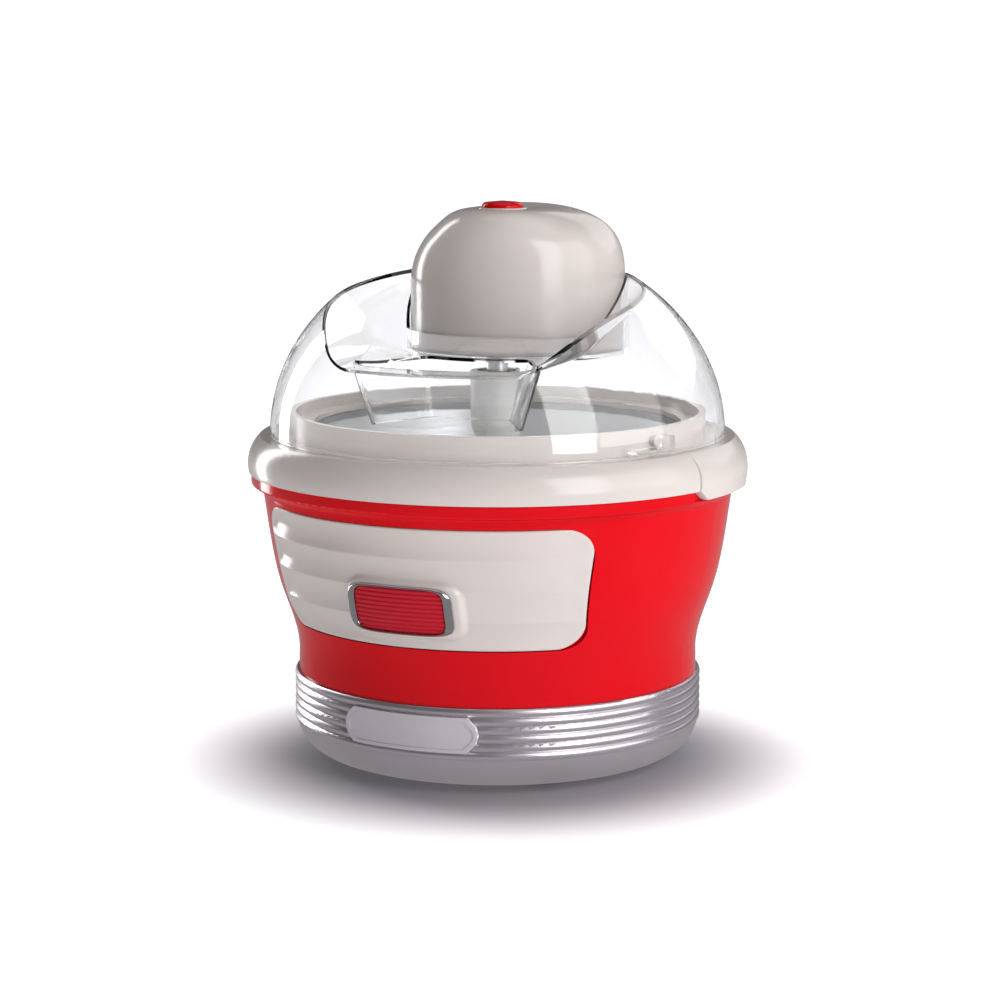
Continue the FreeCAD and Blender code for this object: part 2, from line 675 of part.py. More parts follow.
def badge_insert():
    height = BADGE_HEIGHT - 2 * BADGE_RIM - 2 * SEAT_GAP
    blank = skin(PAD_PROUD + SEAT_GAP, PAD_PROUD + INSERT_PROUD)
    insert = blank.common(front_prism(badge_outline(BADGE_RIM + SEAT_GAP)))
    pitch = height / STRIPE_COUNT
    deep = skin(PAD_PROUD + INSERT_PROUD - STRIPE_DEPTH, PAD_PROUD + 2 * INSERT_PROUD)
    grooves = []
    for index in range(1, STRIPE_COUNT):
        middle = BADGE_MID_Z - height / 2 + index * pitch
        band = disc(2 * RING_RADIUS, middle - pitch / 6, middle + pitch / 6)
        grooves.append(deep.common(band))
    return insert.cut(grooves)


# Freezing bowl

def outer_wall_radius(height):
    rise = (height - BOWL_BOTTOM_Z) / (BOWL_TOP_Z - BOWL_BOTTOM_Z)
    return BOWL_FOOT_RADIUS + (BOWL_TOP_RADIUS - BOWL_FOOT_RADIUS) * rise


def liner_radius(height):
    rise = (height - BOWL_FLOOR_Z) / (BOWL_LIP_TOP - BOWL_FLOOR_Z)
    return BOWL_FLOOR_RADIUS + (BOWL_MOUTH_RADIUS - BOWL_FLOOR_RADIUS) * rise


def cup_edges(floor, low_radius, top, top_radius, corner):
    """Open outline of a round cup wall: floor centre, rounded corner, wall up to its top edge."""
    middle = point(0, floor)
    heel = point(low_radius, floor)
    rim = point(top_radius, top)
    start, bend, end = corner_arc(middle, heel, rim, corner)
    return [line(middle, start), arc(start, bend, end), line(end, rim)]


def outer_cup(inset, top):
    """Outline of the outer bowl wall, moved inwards by an inset."""
    floor = BOWL_BOTTOM_Z + inset
    return cup_edges(floor, outer_wall_radius(floor) - inset, top, outer_wall_radius(top) - inset,
                     BOWL_FOOT_CORNER)


def liner_cup(inset, top):
    """Outline of the liner's inner face, moved outwards by an inset."""
    floor = BOWL_FLOOR_Z - inset
    return cup_edges(floor, liner_radius(floor) + inset, top, liner_radius(top) + inset, BOWL_CORNER + inset)


def between(outer, inner):
    """Solid of revolution between two cup outlines."""
    closing = [line(outer[0].Vertexes[0].Point, inner[0].Vertexes[0].Point)]
    closing.append(line(outer[-1].Vertexes[-1].Point, inner[-1].Vertexes[-1].Point))
    return revolve(outer + inner + closing)


def bowl_outer():
    return between(outer_cup(0, BOWL_TOP_Z), outer_cup(BOWL_OUTER_WALL, BOWL_TOP_Z))


def bowl_liner():
    cup = between(liner_cup(BOWL_LINER_WALL, BOWL_LIP_TOP), liner_cup(0, BOWL_LIP_TOP))
    lip = tube(BOWL_TOP_RADIUS, BOWL_MOUTH_RADIUS + BOWL_LINER_WALL / 2, BOWL_TOP_Z, BOWL_LIP_TOP)
    tip = PIVOT_RADIUS / 2
    low = BOWL_FLOOR_Z - BOWL_LINER_WALL / 2
    top = BOWL_FLOOR_Z + PIVOT_HEIGHT
    pivot = revolve_points([(0, low), (PIVOT_RADIUS, low), (PIVOT_RADIUS, top - tip), (tip, top), (0, top)])
    return fuse([cup, lip, pivot])


def coolant_fill():
    level = BOWL_TOP_Z - COOLANT_AIR_SPACE
    return between(outer_cup(BOWL_OUTER_WALL + SEAT_GAP, level), liner_cup(BOWL_LINER_WALL + SEAT_GAP, level))


def bowl_gasket():
    return tube(BOWL_TOP_RADIUS, BOWL_TOP_RADIUS - GASKET_WIDTH, BOWL_LIP_TOP, GASKET_TOP)


# Cream locking ring

def skirt_arc(radius, shoulder_radius, low, high):
    """Convex skirt from its hem up to the shoulder."""
    share = math.sqrt(0.5)
    middle = point(shoulder_radius + (radius - shoulder_radius) * share, low + (high - low) * share)
    return arc(point(radius, low), middle, point(shoulder_radius, high))


def tab_prism(low):
    """Bar along X whose sides slant outwards up to the hem, as the two grip tabs do."""
    narrow = RING_RADIUS * math.sin(math.radians(TAB_HALF_ANGLE))
    wide = narrow + TAB_SLANT
    outline = [V(0, -narrow, low), V(0, narrow, low), V(0, wide, RING_BOTTOM_Z), V(0, wide, RING_SHOULDER_Z),
               V(0, -wide, RING_SHOULDER_Z), V(0, -wide, RING_BOTTOM_Z), V(0, -narrow, low)]
    face = Part.Face(Part.makePolygon(outline))
    face.translate(V(-2 * RING_RADIUS, 0, 0))
    return face.extrude(V(4 * RING_RADIUS, 0, 0))


def locking_ring():
    under = RING_SHOULDER_Z - RING_WALL
    neck_inner = NECK_RADIUS - NECK_WALL
    lip_low = GASKET_TOP + SLIDE_GAP
    hem_inner = RING_RADIUS - RING_WALL
    shoulder_inner = RING_SHOULDER_RADIUS - RING_WALL
    outer = skirt_arc(RING_RADIUS, RING_SHOULDER_RADIUS, RING_BOTTOM_Z, RING_SHOULDER_Z)
    inner = skirt_arc(hem_inner, shoulder_inner, RING_BOTTOM_Z, under)
    edges = [outer]
    edges += chain([
        point(RING_SHOULDER_RADIUS, RING_SHOULDER_Z), point(NECK_RADIUS, RING_SHOULDER_Z),
        point(NECK_RADIUS, NECK_TOP_Z), point(neck_inner, NECK_TOP_Z),
        point(neck_inner, lip_low + RING_LIP_HEIGHT), point(RING_LIP_RADIUS, lip_low + RING_LIP_HEIGHT),
        point(RING_LIP_RADIUS, lip_low), point(neck_inner, lip_low), point(neck_inner, under),
        point(shoulder_inner, under),
    ])
    edges += [inner, line(point(hem_inner, RING_BOTTOM_Z), point(RING_RADIUS, RING_BOTTOM_Z))]
    ring = revolve(edges)
    tab_low = RING_BOTTOM_Z - TAB_DROP
    tab_radius = RING_RADIUS + TAB_PROUD
    tab_edges = [skirt_arc(tab_radius, RING_SHOULDER_RADIUS, RING_BOTTOM_Z, RING_SHOULDER_Z), inner]
    tab_edges += chain([point(RING_SHOULDER_RADIUS, RING_SHOULDER_Z), point(shoulder_inner, under)])
    tab_edges += chain([point(hem_inner, RING_BOTTOM_Z), point(hem_inner, tab_low),
                        point(tab_radius, tab_low), point(tab_radius, RING_BOTTOM_Z)])
    tabs = revolve(tab_edges).common(tab_prism(tab_low))
    peg_start = NECK_RADIUS - NECK_WALL / 2
    peg = Part.makeCylinder(PEG_RADIUS, PEG_LENGTH + NECK_WALL / 2, V(peg_start, 0, PEG_Z), V(1, 0, 0))
    pegs = around(peg, [front_angle(angle) for angle in PEG_ANGLES])
    return fuse([ring, tabs] + pegs)


# Clear lid

def dome(radius, rise, skirt):
    """Half ellipsoid on a short skirt below its widest circle."""
    side = point(radius, LID_CENTRE_Z)
    top = point(0, LID_CENTRE_Z + rise)
    ellipse = Part.Ellipse(side, top, point(0, LID_CENTRE_Z))
    crown = Part.ArcOfEllipse(ellipse, 0, math.pi / 2).toShape()
    ellipsoid = revolve([crown] + chain([top, point(0, LID_CENTRE_Z), side]))
    return ellipsoid.fuse(disc(radius, LID_CENTRE_Z - skirt, LID_CENTRE_Z)) if skirt else ellipsoid


def scoop(grow):
    """Valley in front of the motor: round at the back, open at the front, sides at 45 degrees."""
    floor = SCOOP_FLOOR_Z - grow
    half = SCOOP_HALF_WIDTH + grow * (math.sqrt(2) - 1)
    reach = LID_RISE
    flat = point(0, floor)
    heel = point(half, floor)
    brow = point(half + reach, floor + reach)
    start, bend, end = corner_arc(flat, heel, brow, SCOOP_FILLET + grow)
    edges = [line(flat, start), arc(start, bend, end)]
    edges += chain([end, brow, point(0, floor + reach), flat])
    face = Part.Face(Part.Wire(edges))
    centre = V(0, SCOOP_CENTRE_Y, 0)
    bowl = revolve(edges, centre)
    face.translate(centre)
    right = face.extrude(V(0, -2 * LID_RADIUS, 0))
    left = right.mirror(ORIGIN, V(1, 0, 0))
    return fuse([bowl, right, left])


def chute_wire(grow, height):
    """Crescent in front of the motor collar."""
    near = SOCKET_RADIUS + LID_WALL + CHUTE_COLLAR_GAP - grow
    far = CHUTE_OUTER_RADIUS + grow
    angle = math.radians(CHUTE_HALF_ANGLE) + grow / far
    near_x = CHUTE_INNER_HALF_WIDTH + grow
    near_y = MOTOR_AXIS_Y - math.sqrt(near ** 2 - near_x ** 2)
    far_x = far * math.sin(angle)
    far_y = -far * math.cos(angle)
    near_right = V(near_x, near_y, height)
    near_left = V(-near_x, near_y, height)
    far_right = V(far_x, far_y, height)
    far_left = V(-far_x, far_y, height)
    return Part.Wire([
        arc(near_left, V(0, MOTOR_AXIS_Y - near, height), near_right),
        line(near_right, far_right),
        arc(far_right, V(0, -far, height), far_left),
        line(far_left, near_left),
    ])


def chute_loft(wall, low, high):
    """Tapering plug between two heights; the wall widens its outline all round."""
    wires = []
    for height in (low, high):
        taper = CHUTE_TAPER * (height - SCOOP_FLOOR_Z) / CHUTE_DEPTH
        wires.append(chute_wire(wall + taper, height))
    plug = Part.makeLoft(wires, True, True)
    corners = [edge for edge in plug.Edges if abs(edge.Vertexes[0].Z - edge.Vertexes[-1].Z) > LID_WALL]
    return plug.makeFillet(CHUTE_CORNER + wall, corners)


def lid_ridges():
    """Bayonet ridges inside the lid's edge: a shelf under each peg and a stop beside it."""
    inner = NECK_RADIUS + 3 * SLIDE_GAP
    outer = LID_RADIUS - LID_WALL / 2
    top = PEG_Z - PEG_RADIUS - SLIDE_GAP
    low = top - RIDGE_HEIGHT
    peg_half = math.degrees((PEG_RADIUS + SLIDE_GAP) / NECK_RADIUS)
    shapes = []
    for angle in PEG_ANGLES:
        stop_start = front_angle(angle - LID_SET_ANGLE) + peg_half
        stop_end = stop_start + RIDGE_STOP
        shelf_middle = stop_end - RIDGE_LENGTH / 2
        shapes.append(sector(outer, inner, low, top, shelf_middle, RIDGE_LENGTH / 2))
        shapes.append(sector(outer, inner, low, low + RIDGE_STOP_HEIGHT, stop_start + RIDGE_STOP / 2,
                             RIDGE_STOP / 2))
    return shapes


def clear_lid():
    outside = dome(LID_RADIUS, LID_RISE, 0)
    inside = dome(LID_RADIUS - LID_WALL, LID_RISE - LID_WALL, LID_WALL)
    valley = scoop(0)
    bed = scoop(LID_WALL).common(outside)
    shell = fuse([outside.cut(inside), bed]).cut(valley)
    cup_radius = SOCKET_RADIUS + LID_WALL
    cup_low = SCOOP_FLOOR_Z - LID_WALL
    collar = disc(cup_radius, cup_low, SCOOP_FLOOR_Z + COLLAR_HEIGHT, MOTOR_AXIS)
    flank = disc(cup_radius, cup_low, MOTOR_TOP_Z, MOTOR_AXIS).common(outside.cut(valley))
    spout = chute_loft(CHUTE_WALL, SCOOP_FLOOR_Z - CHUTE_DEPTH, SCOOP_FLOOR_Z - LID_WALL / 2)
    body = fuse([shell, collar, flank, spout] + lid_ridges())
    socket = disc(SOCKET_RADIUS, SCOOP_FLOOR_Z, MOTOR_TOP_Z, MOTOR_AXIS)
    mouth = chute_loft(0, SCOOP_FLOOR_Z - CHUTE_DEPTH - LID_WALL, SCOOP_FLOOR_Z + LID_WALL)
    hole = disc(SHAFT_HOLE_RADIUS, cup_low - LID_WALL, MOTOR_TOP_Z)
    return body.cut([socket, mouth, hole])


# Motor unit on top of the lid

def crown_height(distance, radius, rise):
    """Height of the rounded crown above the shoulder at a distance from its axis."""
    return rise * (1 - (distance / radius) ** CROWN_FULLNESS) ** (1 / CROWN_FULLNESS)


def crown_edge(radius, rise):
    points = []
    steps = 14
    for index in range(steps + 1):
        turn = math.pi / 2 * index / steps
        out = radius * max(math.cos(turn), 0) ** (2 / CROWN_FULLNESS)
        up = rise * math.sin(turn) ** (2 / CROWN_FULLNESS)
        points.append(point(out, MOTOR_SHOULDER_Z + up))
    return curve(points, V(0, 0, 1), V(-1, 0, 0))


def crown_solid(radius, rise, low):
    shoulder = point(radius, MOTOR_SHOULDER_Z)
    top = point(0, MOTOR_SHOULDER_Z + rise)
    edges = [crown_edge(radius, rise)]
    edges += chain([top, point(0, low), point(radius, low), shoulder])
    return revolve(edges)


def slanted_crown(radius, rise):
    """Round body on the motor axis whose crown slants down to the front."""
    slant = FreeCAD.Matrix()
    slant.A32 = CROWN_SLANT
    spare = 2 * CROWN_SLANT * MOTOR_RADIUS
    body = crown_solid(radius, rise, MOTOR_BOTTOM_Z - spare).transformGeometry(slant)
    body.translate(MOTOR_AXIS)
    return body


BUTTON_SPOT = V(0, BUTTON_Y, 0)
BUTTON_CROWN = crown_height(MOTOR_AXIS_Y - BUTTON_Y, MOTOR_RADIUS, CROWN_RISE)
BUTTON_DROP = CROWN_SLANT * (MOTOR_AXIS_Y - BUTTON_Y) + BUTTON_DISH_DEPTH
BUTTON_DISH_Z = MOTOR_SHOULDER_Z + BUTTON_CROWN - BUTTON_DROP
BUTTON_TOP_Z = BUTTON_DISH_Z + BUTTON_STAND
BUTTON_FLANGE_TOP = BUTTON_DISH_Z - BUTTON_GUIDE - SLIDE_GAP
BUTTON_STEM_LOW = BUTTON_FLANGE_TOP - BUTTON_FLANGE_HEIGHT - BUTTON_STEM_LENGTH
SWITCH_TOP = BUTTON_STEM_LOW - BUTTON_TRAVEL - SLIDE_GAP
COVER_INNER_RADIUS = MOTOR_RADIUS - COVER_WALL
IDLER_SPOT = V(0, IDLER_Y, 0)
PINION_SPOT = V(0, PINION_Y, 0)


def gland_solid(radius, start, end):
    return Part.makeCylinder(radius, end - start, V(0, start, GLAND_Z), V(0, 1, 0))


def motor_cover():
    outside = slanted_crown(MOTOR_RADIUS, CROWN_RISE)
    inside = slanted_crown(COVER_INNER_RADIUS, CROWN_RISE - COVER_WALL)
    below = disc(2 * MOTOR_RADIUS, 0, MOTOR_BOTTOM_Z, MOTOR_AXIS)
    ledge = tube(MOTOR_RADIUS - COVER_WALL / 2, COVER_INNER_RADIUS - COVER_LEDGE, MOTOR_PLATE_TOP,
                 MOTOR_PLATE_TOP + COVER_LEDGE, MOTOR_AXIS)
    dish = disc(BUTTON_DISH_RADIUS, BUTTON_DISH_Z, 2 * MOTOR_TOP_Z, BUTTON_SPOT)
    guide = disc(BUTTON_DISH_RADIUS, BUTTON_DISH_Z - BUTTON_GUIDE, BUTTON_DISH_Z, BUTTON_SPOT)
    hole = disc(BUTTON_RADIUS + SLIDE_GAP, BUTTON_DISH_Z - 2 * BUTTON_GUIDE, MOTOR_TOP_Z, BUTTON_SPOT)
    cord_hole = gland_solid(GLAND_RADIUS + SEAT_GAP, MOTOR_AXIS_Y, MOTOR_AXIS_Y + 2 * MOTOR_RADIUS)
    flange_room = disc(BUTTON_RADIUS + BUTTON_FLANGE + SLIDE_GAP, MOTOR_BOTTOM_Z,
                       BUTTON_FLANGE_TOP + SLIDE_GAP, BUTTON_SPOT)
    shell = outside.cut([inside, below, dish])
    return fuse([shell, ledge, guide]).cut([hole, flange_room, cord_hole])


def post_spots():
    return [MOTOR_AXIS + polar(POST_CIRCLE, angle) for angle in POST_ANGLES]


def motor_base():
    plate = disc(COVER_INNER_RADIUS - SLIDE_GAP, MOTOR_BOTTOM_Z, MOTOR_PLATE_TOP, MOTOR_AXIS)
    boss = disc(POST_RADIUS, MOTOR_BOTTOM_Z, COARSE_GEAR_Z - SLIDE_GAP, IDLER_SPOT)
    cuts = [disc(OUTPUT_SHAFT_RADIUS + OUTPUT_BUSH_WALL + RUN_GAP, 0, MOTOR_PLATE_TOP)]
    cuts.append(disc(IDLER_PIN_RADIUS + RUN_GAP, MOTOR_BOTTOM_Z + MOTOR_PLATE / 2, GEAR_PLATE_Z, IDLER_SPOT))
    for spot in post_spots():
        cuts.append(disc(SCREW_RADIUS + SEAT_GAP, 0, MOTOR_PLATE_TOP, spot))
        cuts.append(disc(SCREW_HEAD_RADIUS + SEAT_GAP, 0, MOTOR_BOTTOM_Z + SCREW_HEAD_HEIGHT, spot))
    return fuse([plate, boss]).cut(cuts)


def gearbox_screws():
    return Part.makeCompound([screw(spot, MOTOR_BOTTOM_Z) for spot in post_spots()])


def gear_plate():
    plate = disc(GEAR_PLATE_RADIUS, GEAR_PLATE_Z, GEAR_PLATE_TOP, MOTOR_AXIS)
    posts = [disc(POST_RADIUS, MOTOR_PLATE_TOP, GEAR_PLATE_TOP, spot) for spot in post_spots()]
    half = SWITCH_WIDTH / 2
    switch_low = SWITCH_TOP - SWITCH_HEIGHT
    tower = Part.makeBox(SWITCH_WIDTH, SWITCH_WIDTH, switch_low - GEAR_PLATE_Z,
                         V(-half, BUTTON_Y - half, GEAR_PLATE_Z))
    core = half - COVER_WALL
    hollow = Part.makeBox(2 * core, 2 * core, switch_low - GEAR_PLATE_TOP,
                          V(-core, BUTTON_Y - core, GEAR_PLATE_TOP))
    cuts = [hollow]
    cuts.append(disc(OUTPUT_JOURNAL_RADIUS + RUN_GAP, GEAR_PLATE_Z, GEAR_PLATE_TOP))
    cuts.append(disc(IDLER_PIN_RADIUS + RUN_GAP, GEAR_PLATE_Z, GEAR_PLATE_TOP, IDLER_SPOT))
    cuts.append(disc(3 * PINION_SHAFT_RADIUS, GEAR_PLATE_Z, GEAR_PLATE_TOP, PINION_SPOT))
    pilot_top = MOTOR_BOTTOM_Z + SCREW_HEAD_HEIGHT + SCREW_GRIP + 2.0
    cuts += [disc(SCREW_RADIUS + RUN_GAP, MOTOR_PLATE_TOP, pilot_top, spot) for spot in post_spots()]
    return fuse([plate, tower] + posts).cut(cuts)


def motor_can():
    top = GEAR_PLATE_TOP + MOTOR_CAN_HEIGHT
    bevel = 2.0
    radius = MOTOR_CAN_RADIUS
    can = revolve_points([(0, GEAR_PLATE_TOP), (radius, GEAR_PLATE_TOP), (radius, top - bevel),
                          (radius - bevel, top), (radius / 3, top), (radius / 3, top + bevel),
                          (0, top + bevel)], PINION_SPOT)
    bore = disc(PINION_SHAFT_RADIUS + RUN_GAP, GEAR_PLATE_TOP, GEAR_PLATE_TOP + PINION_SHAFT_GRIP + SLIDE_GAP,
                PINION_SPOT)
    return can.cut(bore)


def push_switch():
    half = SWITCH_WIDTH / 2
    return Part.makeBox(SWITCH_WIDTH, SWITCH_WIDTH, SWITCH_HEIGHT,
                        V(-half, BUTTON_Y - half, SWITCH_TOP - SWITCH_HEIGHT))


def cord_gland():
    wall = MOTOR_AXIS_Y + MOTOR_RADIUS
    sleeve = gland_solid(GLAND_RADIUS, wall - 2 * COVER_WALL, wall + SEAT_GAP)
    flange = gland_solid(GLAND_RADIUS + GLAND_FLANGE, wall + SEAT_GAP, wall + SEAT_GAP + GLAND_FLANGE)
    bore = gland_solid(GLAND_BORE, wall - 3 * COVER_WALL, wall + 2 * GLAND_FLANGE)
    return fuse([sleeve, flange]).cut(bore)


def output_bush():
    outer = OUTPUT_SHAFT_RADIUS + OUTPUT_BUSH_WALL
    sleeve = disc(outer, MOTOR_BOTTOM_Z, MOTOR_PLATE_TOP)
    flange = disc(outer + OUTPUT_BUSH_FLANGE, MOTOR_PLATE_TOP, MOTOR_PLATE_TOP + OUTPUT_BUSH_FLANGE)
    return fuse([sleeve, flange]).cut(disc(OUTPUT_SHAFT_RADIUS + RUN_GAP, 0, MOTOR_TOP_Z))


def idler_pin():
    return disc(IDLER_PIN_RADIUS, MOTOR_BOTTOM_Z + MOTOR_PLATE / 2, GEAR_PLATE_TOP, IDLER_SPOT)


def power_button():
    rim = point(BUTTON_RADIUS, BUTTON_TOP_Z - BUTTON_SWELL - BUTTON_EDGE)
    brow = point(BUTTON_RADIUS - BUTTON_EDGE, BUTTON_TOP_Z - BUTTON_SWELL)
    bend = rim + (brow - rim) / 2 + V(1, 0, 1) * BUTTON_EDGE * (math.sqrt(0.5) - 0.5)
    middle = point(0, BUTTON_TOP_Z)
    edges = [arc(rim, bend, brow), line(brow, middle)]
    edges += chain([middle, point(0, BUTTON_FLANGE_TOP), point(BUTTON_RADIUS, BUTTON_FLANGE_TOP), rim])
    cap = revolve(edges, BUTTON_SPOT)
    flange = disc(BUTTON_RADIUS + BUTTON_FLANGE, BUTTON_FLANGE_TOP - BUTTON_FLANGE_HEIGHT, BUTTON_FLANGE_TOP,
                  BUTTON_SPOT)
    stem = disc(BUTTON_STEM_RADIUS, BUTTON_STEM_LOW, BUTTON_FLANGE_TOP, BUTTON_SPOT)
    return fuse([cap, flange, stem])


# Gear train

def gear(teeth, module, low, high, phase, spot):
    """Spur gear with involute flanks, short teeth and backlash; phase turns its first tooth."""
    pitch = module * teeth / 2
    slope = math.radians(PRESSURE_ANGLE)
    base = pitch * math.cos(slope)
    root = pitch - 1.15 * module
    tip = pitch + 0.8 * module
    half_pitch = (math.pi * module / 2 - GEAR_BACKLASH) / (2 * pitch)
    steps = 4
    start = max(root, base)
    flank = [(root, half_pitch + math.tan(slope) - slope)] if root < base else []
    for index in range(steps):
        radius = start + (tip - start) * index / (steps - 1)
        lean = math.acos(min(base / radius, 1.0))
        flank.append((radius, half_pitch + math.tan(slope) - slope - math.tan(lean) + lean))
    points = []
    for tooth in range(teeth):
        middle = math.radians(phase) + 2 * math.pi * tooth / teeth
        sides = [(radius, middle - half) for radius, half in flank]
        sides += [(radius, middle + half) for radius, half in reversed(flank)]
        points += [V(radius * math.cos(turn), radius * math.sin(turn), low) for radius, turn in sides]
    face = Part.Face(Part.makePolygon(points + points[:1]))
    solid = face.extrude(V(0, 0, high - low))
    solid.translate(spot)
    return solid


COARSE_GEAR_TOP = COARSE_GEAR_Z + COARSE_GEAR_WIDTH
FINE_GEAR_TOP = FINE_GEAR_Z + FINE_GEAR_WIDTH
IDLER_SMALL_PHASE = 180.0 / IDLER_SMALL_TEETH
IDLER_LARGE_PHASE = 90.0 % (360.0 / IDLER_LARGE_TEETH)


def output_gear():
    wheel = gear(OUTPUT_TEETH, COARSE_MODULE, COARSE_GEAR_Z, COARSE_GEAR_TOP, 0, ORIGIN)
    hub_low = MOTOR_PLATE_TOP + OUTPUT_BUSH_FLANGE + SLIDE_GAP
    hub = disc(OUTPUT_SHAFT_RADIUS + OUTPUT_BUSH_WALL, hub_low, COARSE_GEAR_TOP)
    return fuse([wheel, hub]).cut(disc(OUTPUT_SHAFT_RADIUS + RUN_GAP, 0, MOTOR_TOP_Z))


def drive_shaft():
    blade_top = TANG_TIP_Z + TANG_LENGTH
    body = disc(OUTPUT_SHAFT_RADIUS, blade_top, COARSE_GEAR_TOP)
    journal = disc(OUTPUT_JOURNAL_RADIUS, COARSE_GEAR_TOP, GEAR_PLATE_TOP)
    blade = Part.makeBox(TANG_WIDTH, TANG_THICKNESS, TANG_LENGTH,
                         V(-TANG_WIDTH / 2, -TANG_THICKNESS / 2, TANG_TIP_Z))
    return fuse([body, journal, blade])


def idler_gear():
    small = gear(IDLER_SMALL_TEETH, COARSE_MODULE, COARSE_GEAR_Z, FINE_GEAR_Z, IDLER_SMALL_PHASE, IDLER_SPOT)
    large = gear(IDLER_LARGE_TEETH, FINE_MODULE, FINE_GEAR_Z, FINE_GEAR_TOP, IDLER_LARGE_PHASE, IDLER_SPOT)
    return fuse([small, large]).cut(disc(IDLER_PIN_RADIUS + RUN_GAP, 0, MOTOR_TOP_Z, IDLER_SPOT))


def motor_pinion():
    wheel = gear(PINION_TEETH, FINE_MODULE, FINE_GEAR_Z, FINE_GEAR_TOP, 0, PINION_SPOT)
    shaft = disc(PINION_SHAFT_RADIUS, FINE_GEAR_Z, GEAR_PLATE_TOP + PINION_SHAFT_GRIP, PINION_SPOT)
    return fuse([wheel, shaft])


# Mixing paddle

def paddle_window(low, high):
    near = PADDLE_STEM_RADIUS + PADDLE_RIB / 2
    corners = [V(near, 0, low), V(liner_radius(low) - PADDLE_GAP - PADDLE_RIB, 0, low),
               V(liner_radius(high) - PADDLE_GAP - PADDLE_RIB, 0, high), V(near, 0, high)]
    face = Part.Face(Part.Wire(rounded_outline(corners, PADDLE_CORNER)))
    face.translate(V(0, -PADDLE_THICKNESS, 0))
    return face.extrude(V(0, 2 * PADDLE_THICKNESS, 0))


def mixing_paddle():
    low = BOWL_FLOOR_Z + PADDLE_GAP
    wide_low = liner_radius(low) - PADDLE_GAP
    wide_top = liner_radius(PADDLE_TOP_Z) - PADDLE_GAP
    corners = [V(-wide_low, 0, low), V(wide_low, 0, low), V(wide_top, 0, PADDLE_TOP_Z),
               V(-wide_top, 0, PADDLE_TOP_Z)]
    face = Part.Face(Part.Wire(rounded_outline(corners, BOWL_CORNER)))
    face.translate(V(0, -PADDLE_THICKNESS / 2, 0))
    blade = face.extrude(V(0, PADDLE_THICKNESS, 0))
    middle = (low + PADDLE_TOP_Z) / 2
    windows = [paddle_window(low + PADDLE_RIB, middle - PADDLE_RIB / 2),
               paddle_window(middle + PADDLE_RIB / 2, PADDLE_TOP_Z - PADDLE_RIB)]
    windows += [window.mirror(ORIGIN, V(1, 0, 0)) for window in windows]
    hub_low = TANG_TIP_Z - HUB_RADIUS
    stem = revolve_points([(0, low), (PADDLE_STEM_RADIUS, low), (PADDLE_STEM_RADIUS, hub_low - HUB_RADIUS),
                           (HUB_RADIUS, hub_low), (HUB_RADIUS, HUB_TOP_Z), (0, HUB_TOP_Z)])
    cavity_low = TANG_TIP_Z - PADDLE_GAP
    cavity = disc(HUB_RADIUS - HUB_WALL, cavity_low, 2 * HUB_TOP_Z)
    dogs = [sector(HUB_RADIUS - HUB_WALL / 2, HUB_RADIUS - HUB_WALL - DOG_DEPTH, cavity_low, HUB_TOP_Z,
                   middle_angle, DOG_HALF_ANGLE) for middle_angle in (DOG_ANGLE, DOG_ANGLE + 180)]
    socket = disc(PIVOT_RADIUS + SLIDE_GAP, BOWL_FLOOR_Z, BOWL_FLOOR_Z + PIVOT_HEIGHT + SLIDE_GAP)
    return fuse([fuse([blade.cut(windows), stem]).cut([cavity, socket])] + dogs)


BODY_PIECES = (
    base_shell, rubber_feet, base_screws, name_plate, outer_housing, seat_pad, front_panel, badge_bezel,
    badge_insert, bowl_outer, bowl_liner, coolant_fill, bowl_gasket, locking_ring, mixing_paddle,
)

# The locked lid and all that it carries stand a little turned from the front
LID_PIECES = (
    clear_lid, motor_cover, motor_base, gearbox_screws, gear_plate, motor_can, push_switch, cord_gland,
    output_bush, idler_pin, power_button, output_gear, drive_shaft, idler_gear, motor_pinion,
)

for piece in BODY_PIECES:
    save(piece.__name__, piece())
for piece in LID_PIECES:
    save(piece.__name__, turned(piece(), LID_SET_ANGLE))
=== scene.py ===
# %% [markdown]
# # A retro ice cream maker, dressed for the camera
# The solids of this machine come from a CAD model, already in metres and in the right place.
# In this lesson we give them finishes, add the fine forms that a mould would give, and light them in a
# small photo studio.

# %% Load the solids
import json
import math

import bmesh
import bpy
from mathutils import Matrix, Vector
from mathutils.bvhtree import BVHTree


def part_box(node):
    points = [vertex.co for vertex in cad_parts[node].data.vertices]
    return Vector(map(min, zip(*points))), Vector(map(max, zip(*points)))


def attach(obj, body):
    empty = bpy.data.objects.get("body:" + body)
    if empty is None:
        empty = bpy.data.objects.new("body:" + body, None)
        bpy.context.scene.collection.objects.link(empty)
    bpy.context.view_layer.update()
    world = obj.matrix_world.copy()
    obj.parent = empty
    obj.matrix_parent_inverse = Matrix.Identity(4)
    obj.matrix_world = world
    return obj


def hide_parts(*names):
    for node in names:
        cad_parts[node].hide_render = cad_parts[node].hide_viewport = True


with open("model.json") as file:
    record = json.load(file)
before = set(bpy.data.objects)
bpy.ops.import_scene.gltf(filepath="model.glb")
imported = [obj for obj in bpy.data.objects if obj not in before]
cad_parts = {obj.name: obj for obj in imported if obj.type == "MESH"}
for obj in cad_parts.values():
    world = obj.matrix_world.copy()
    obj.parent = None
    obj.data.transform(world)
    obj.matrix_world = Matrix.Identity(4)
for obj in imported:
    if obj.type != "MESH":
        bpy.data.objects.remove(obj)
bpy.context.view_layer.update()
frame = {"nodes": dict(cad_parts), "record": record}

MM = 0.001
nodes = frame["nodes"]

# %% [markdown]
# ## The camera
# The machine is turned a little to its own right and seen by a long lens from slightly above its button.
# A camera could be placed by eye and dragged until it fits. Here its angles, distance and lens were
# worked out from the round edges of the machine, so an aim point and two angles are enough.

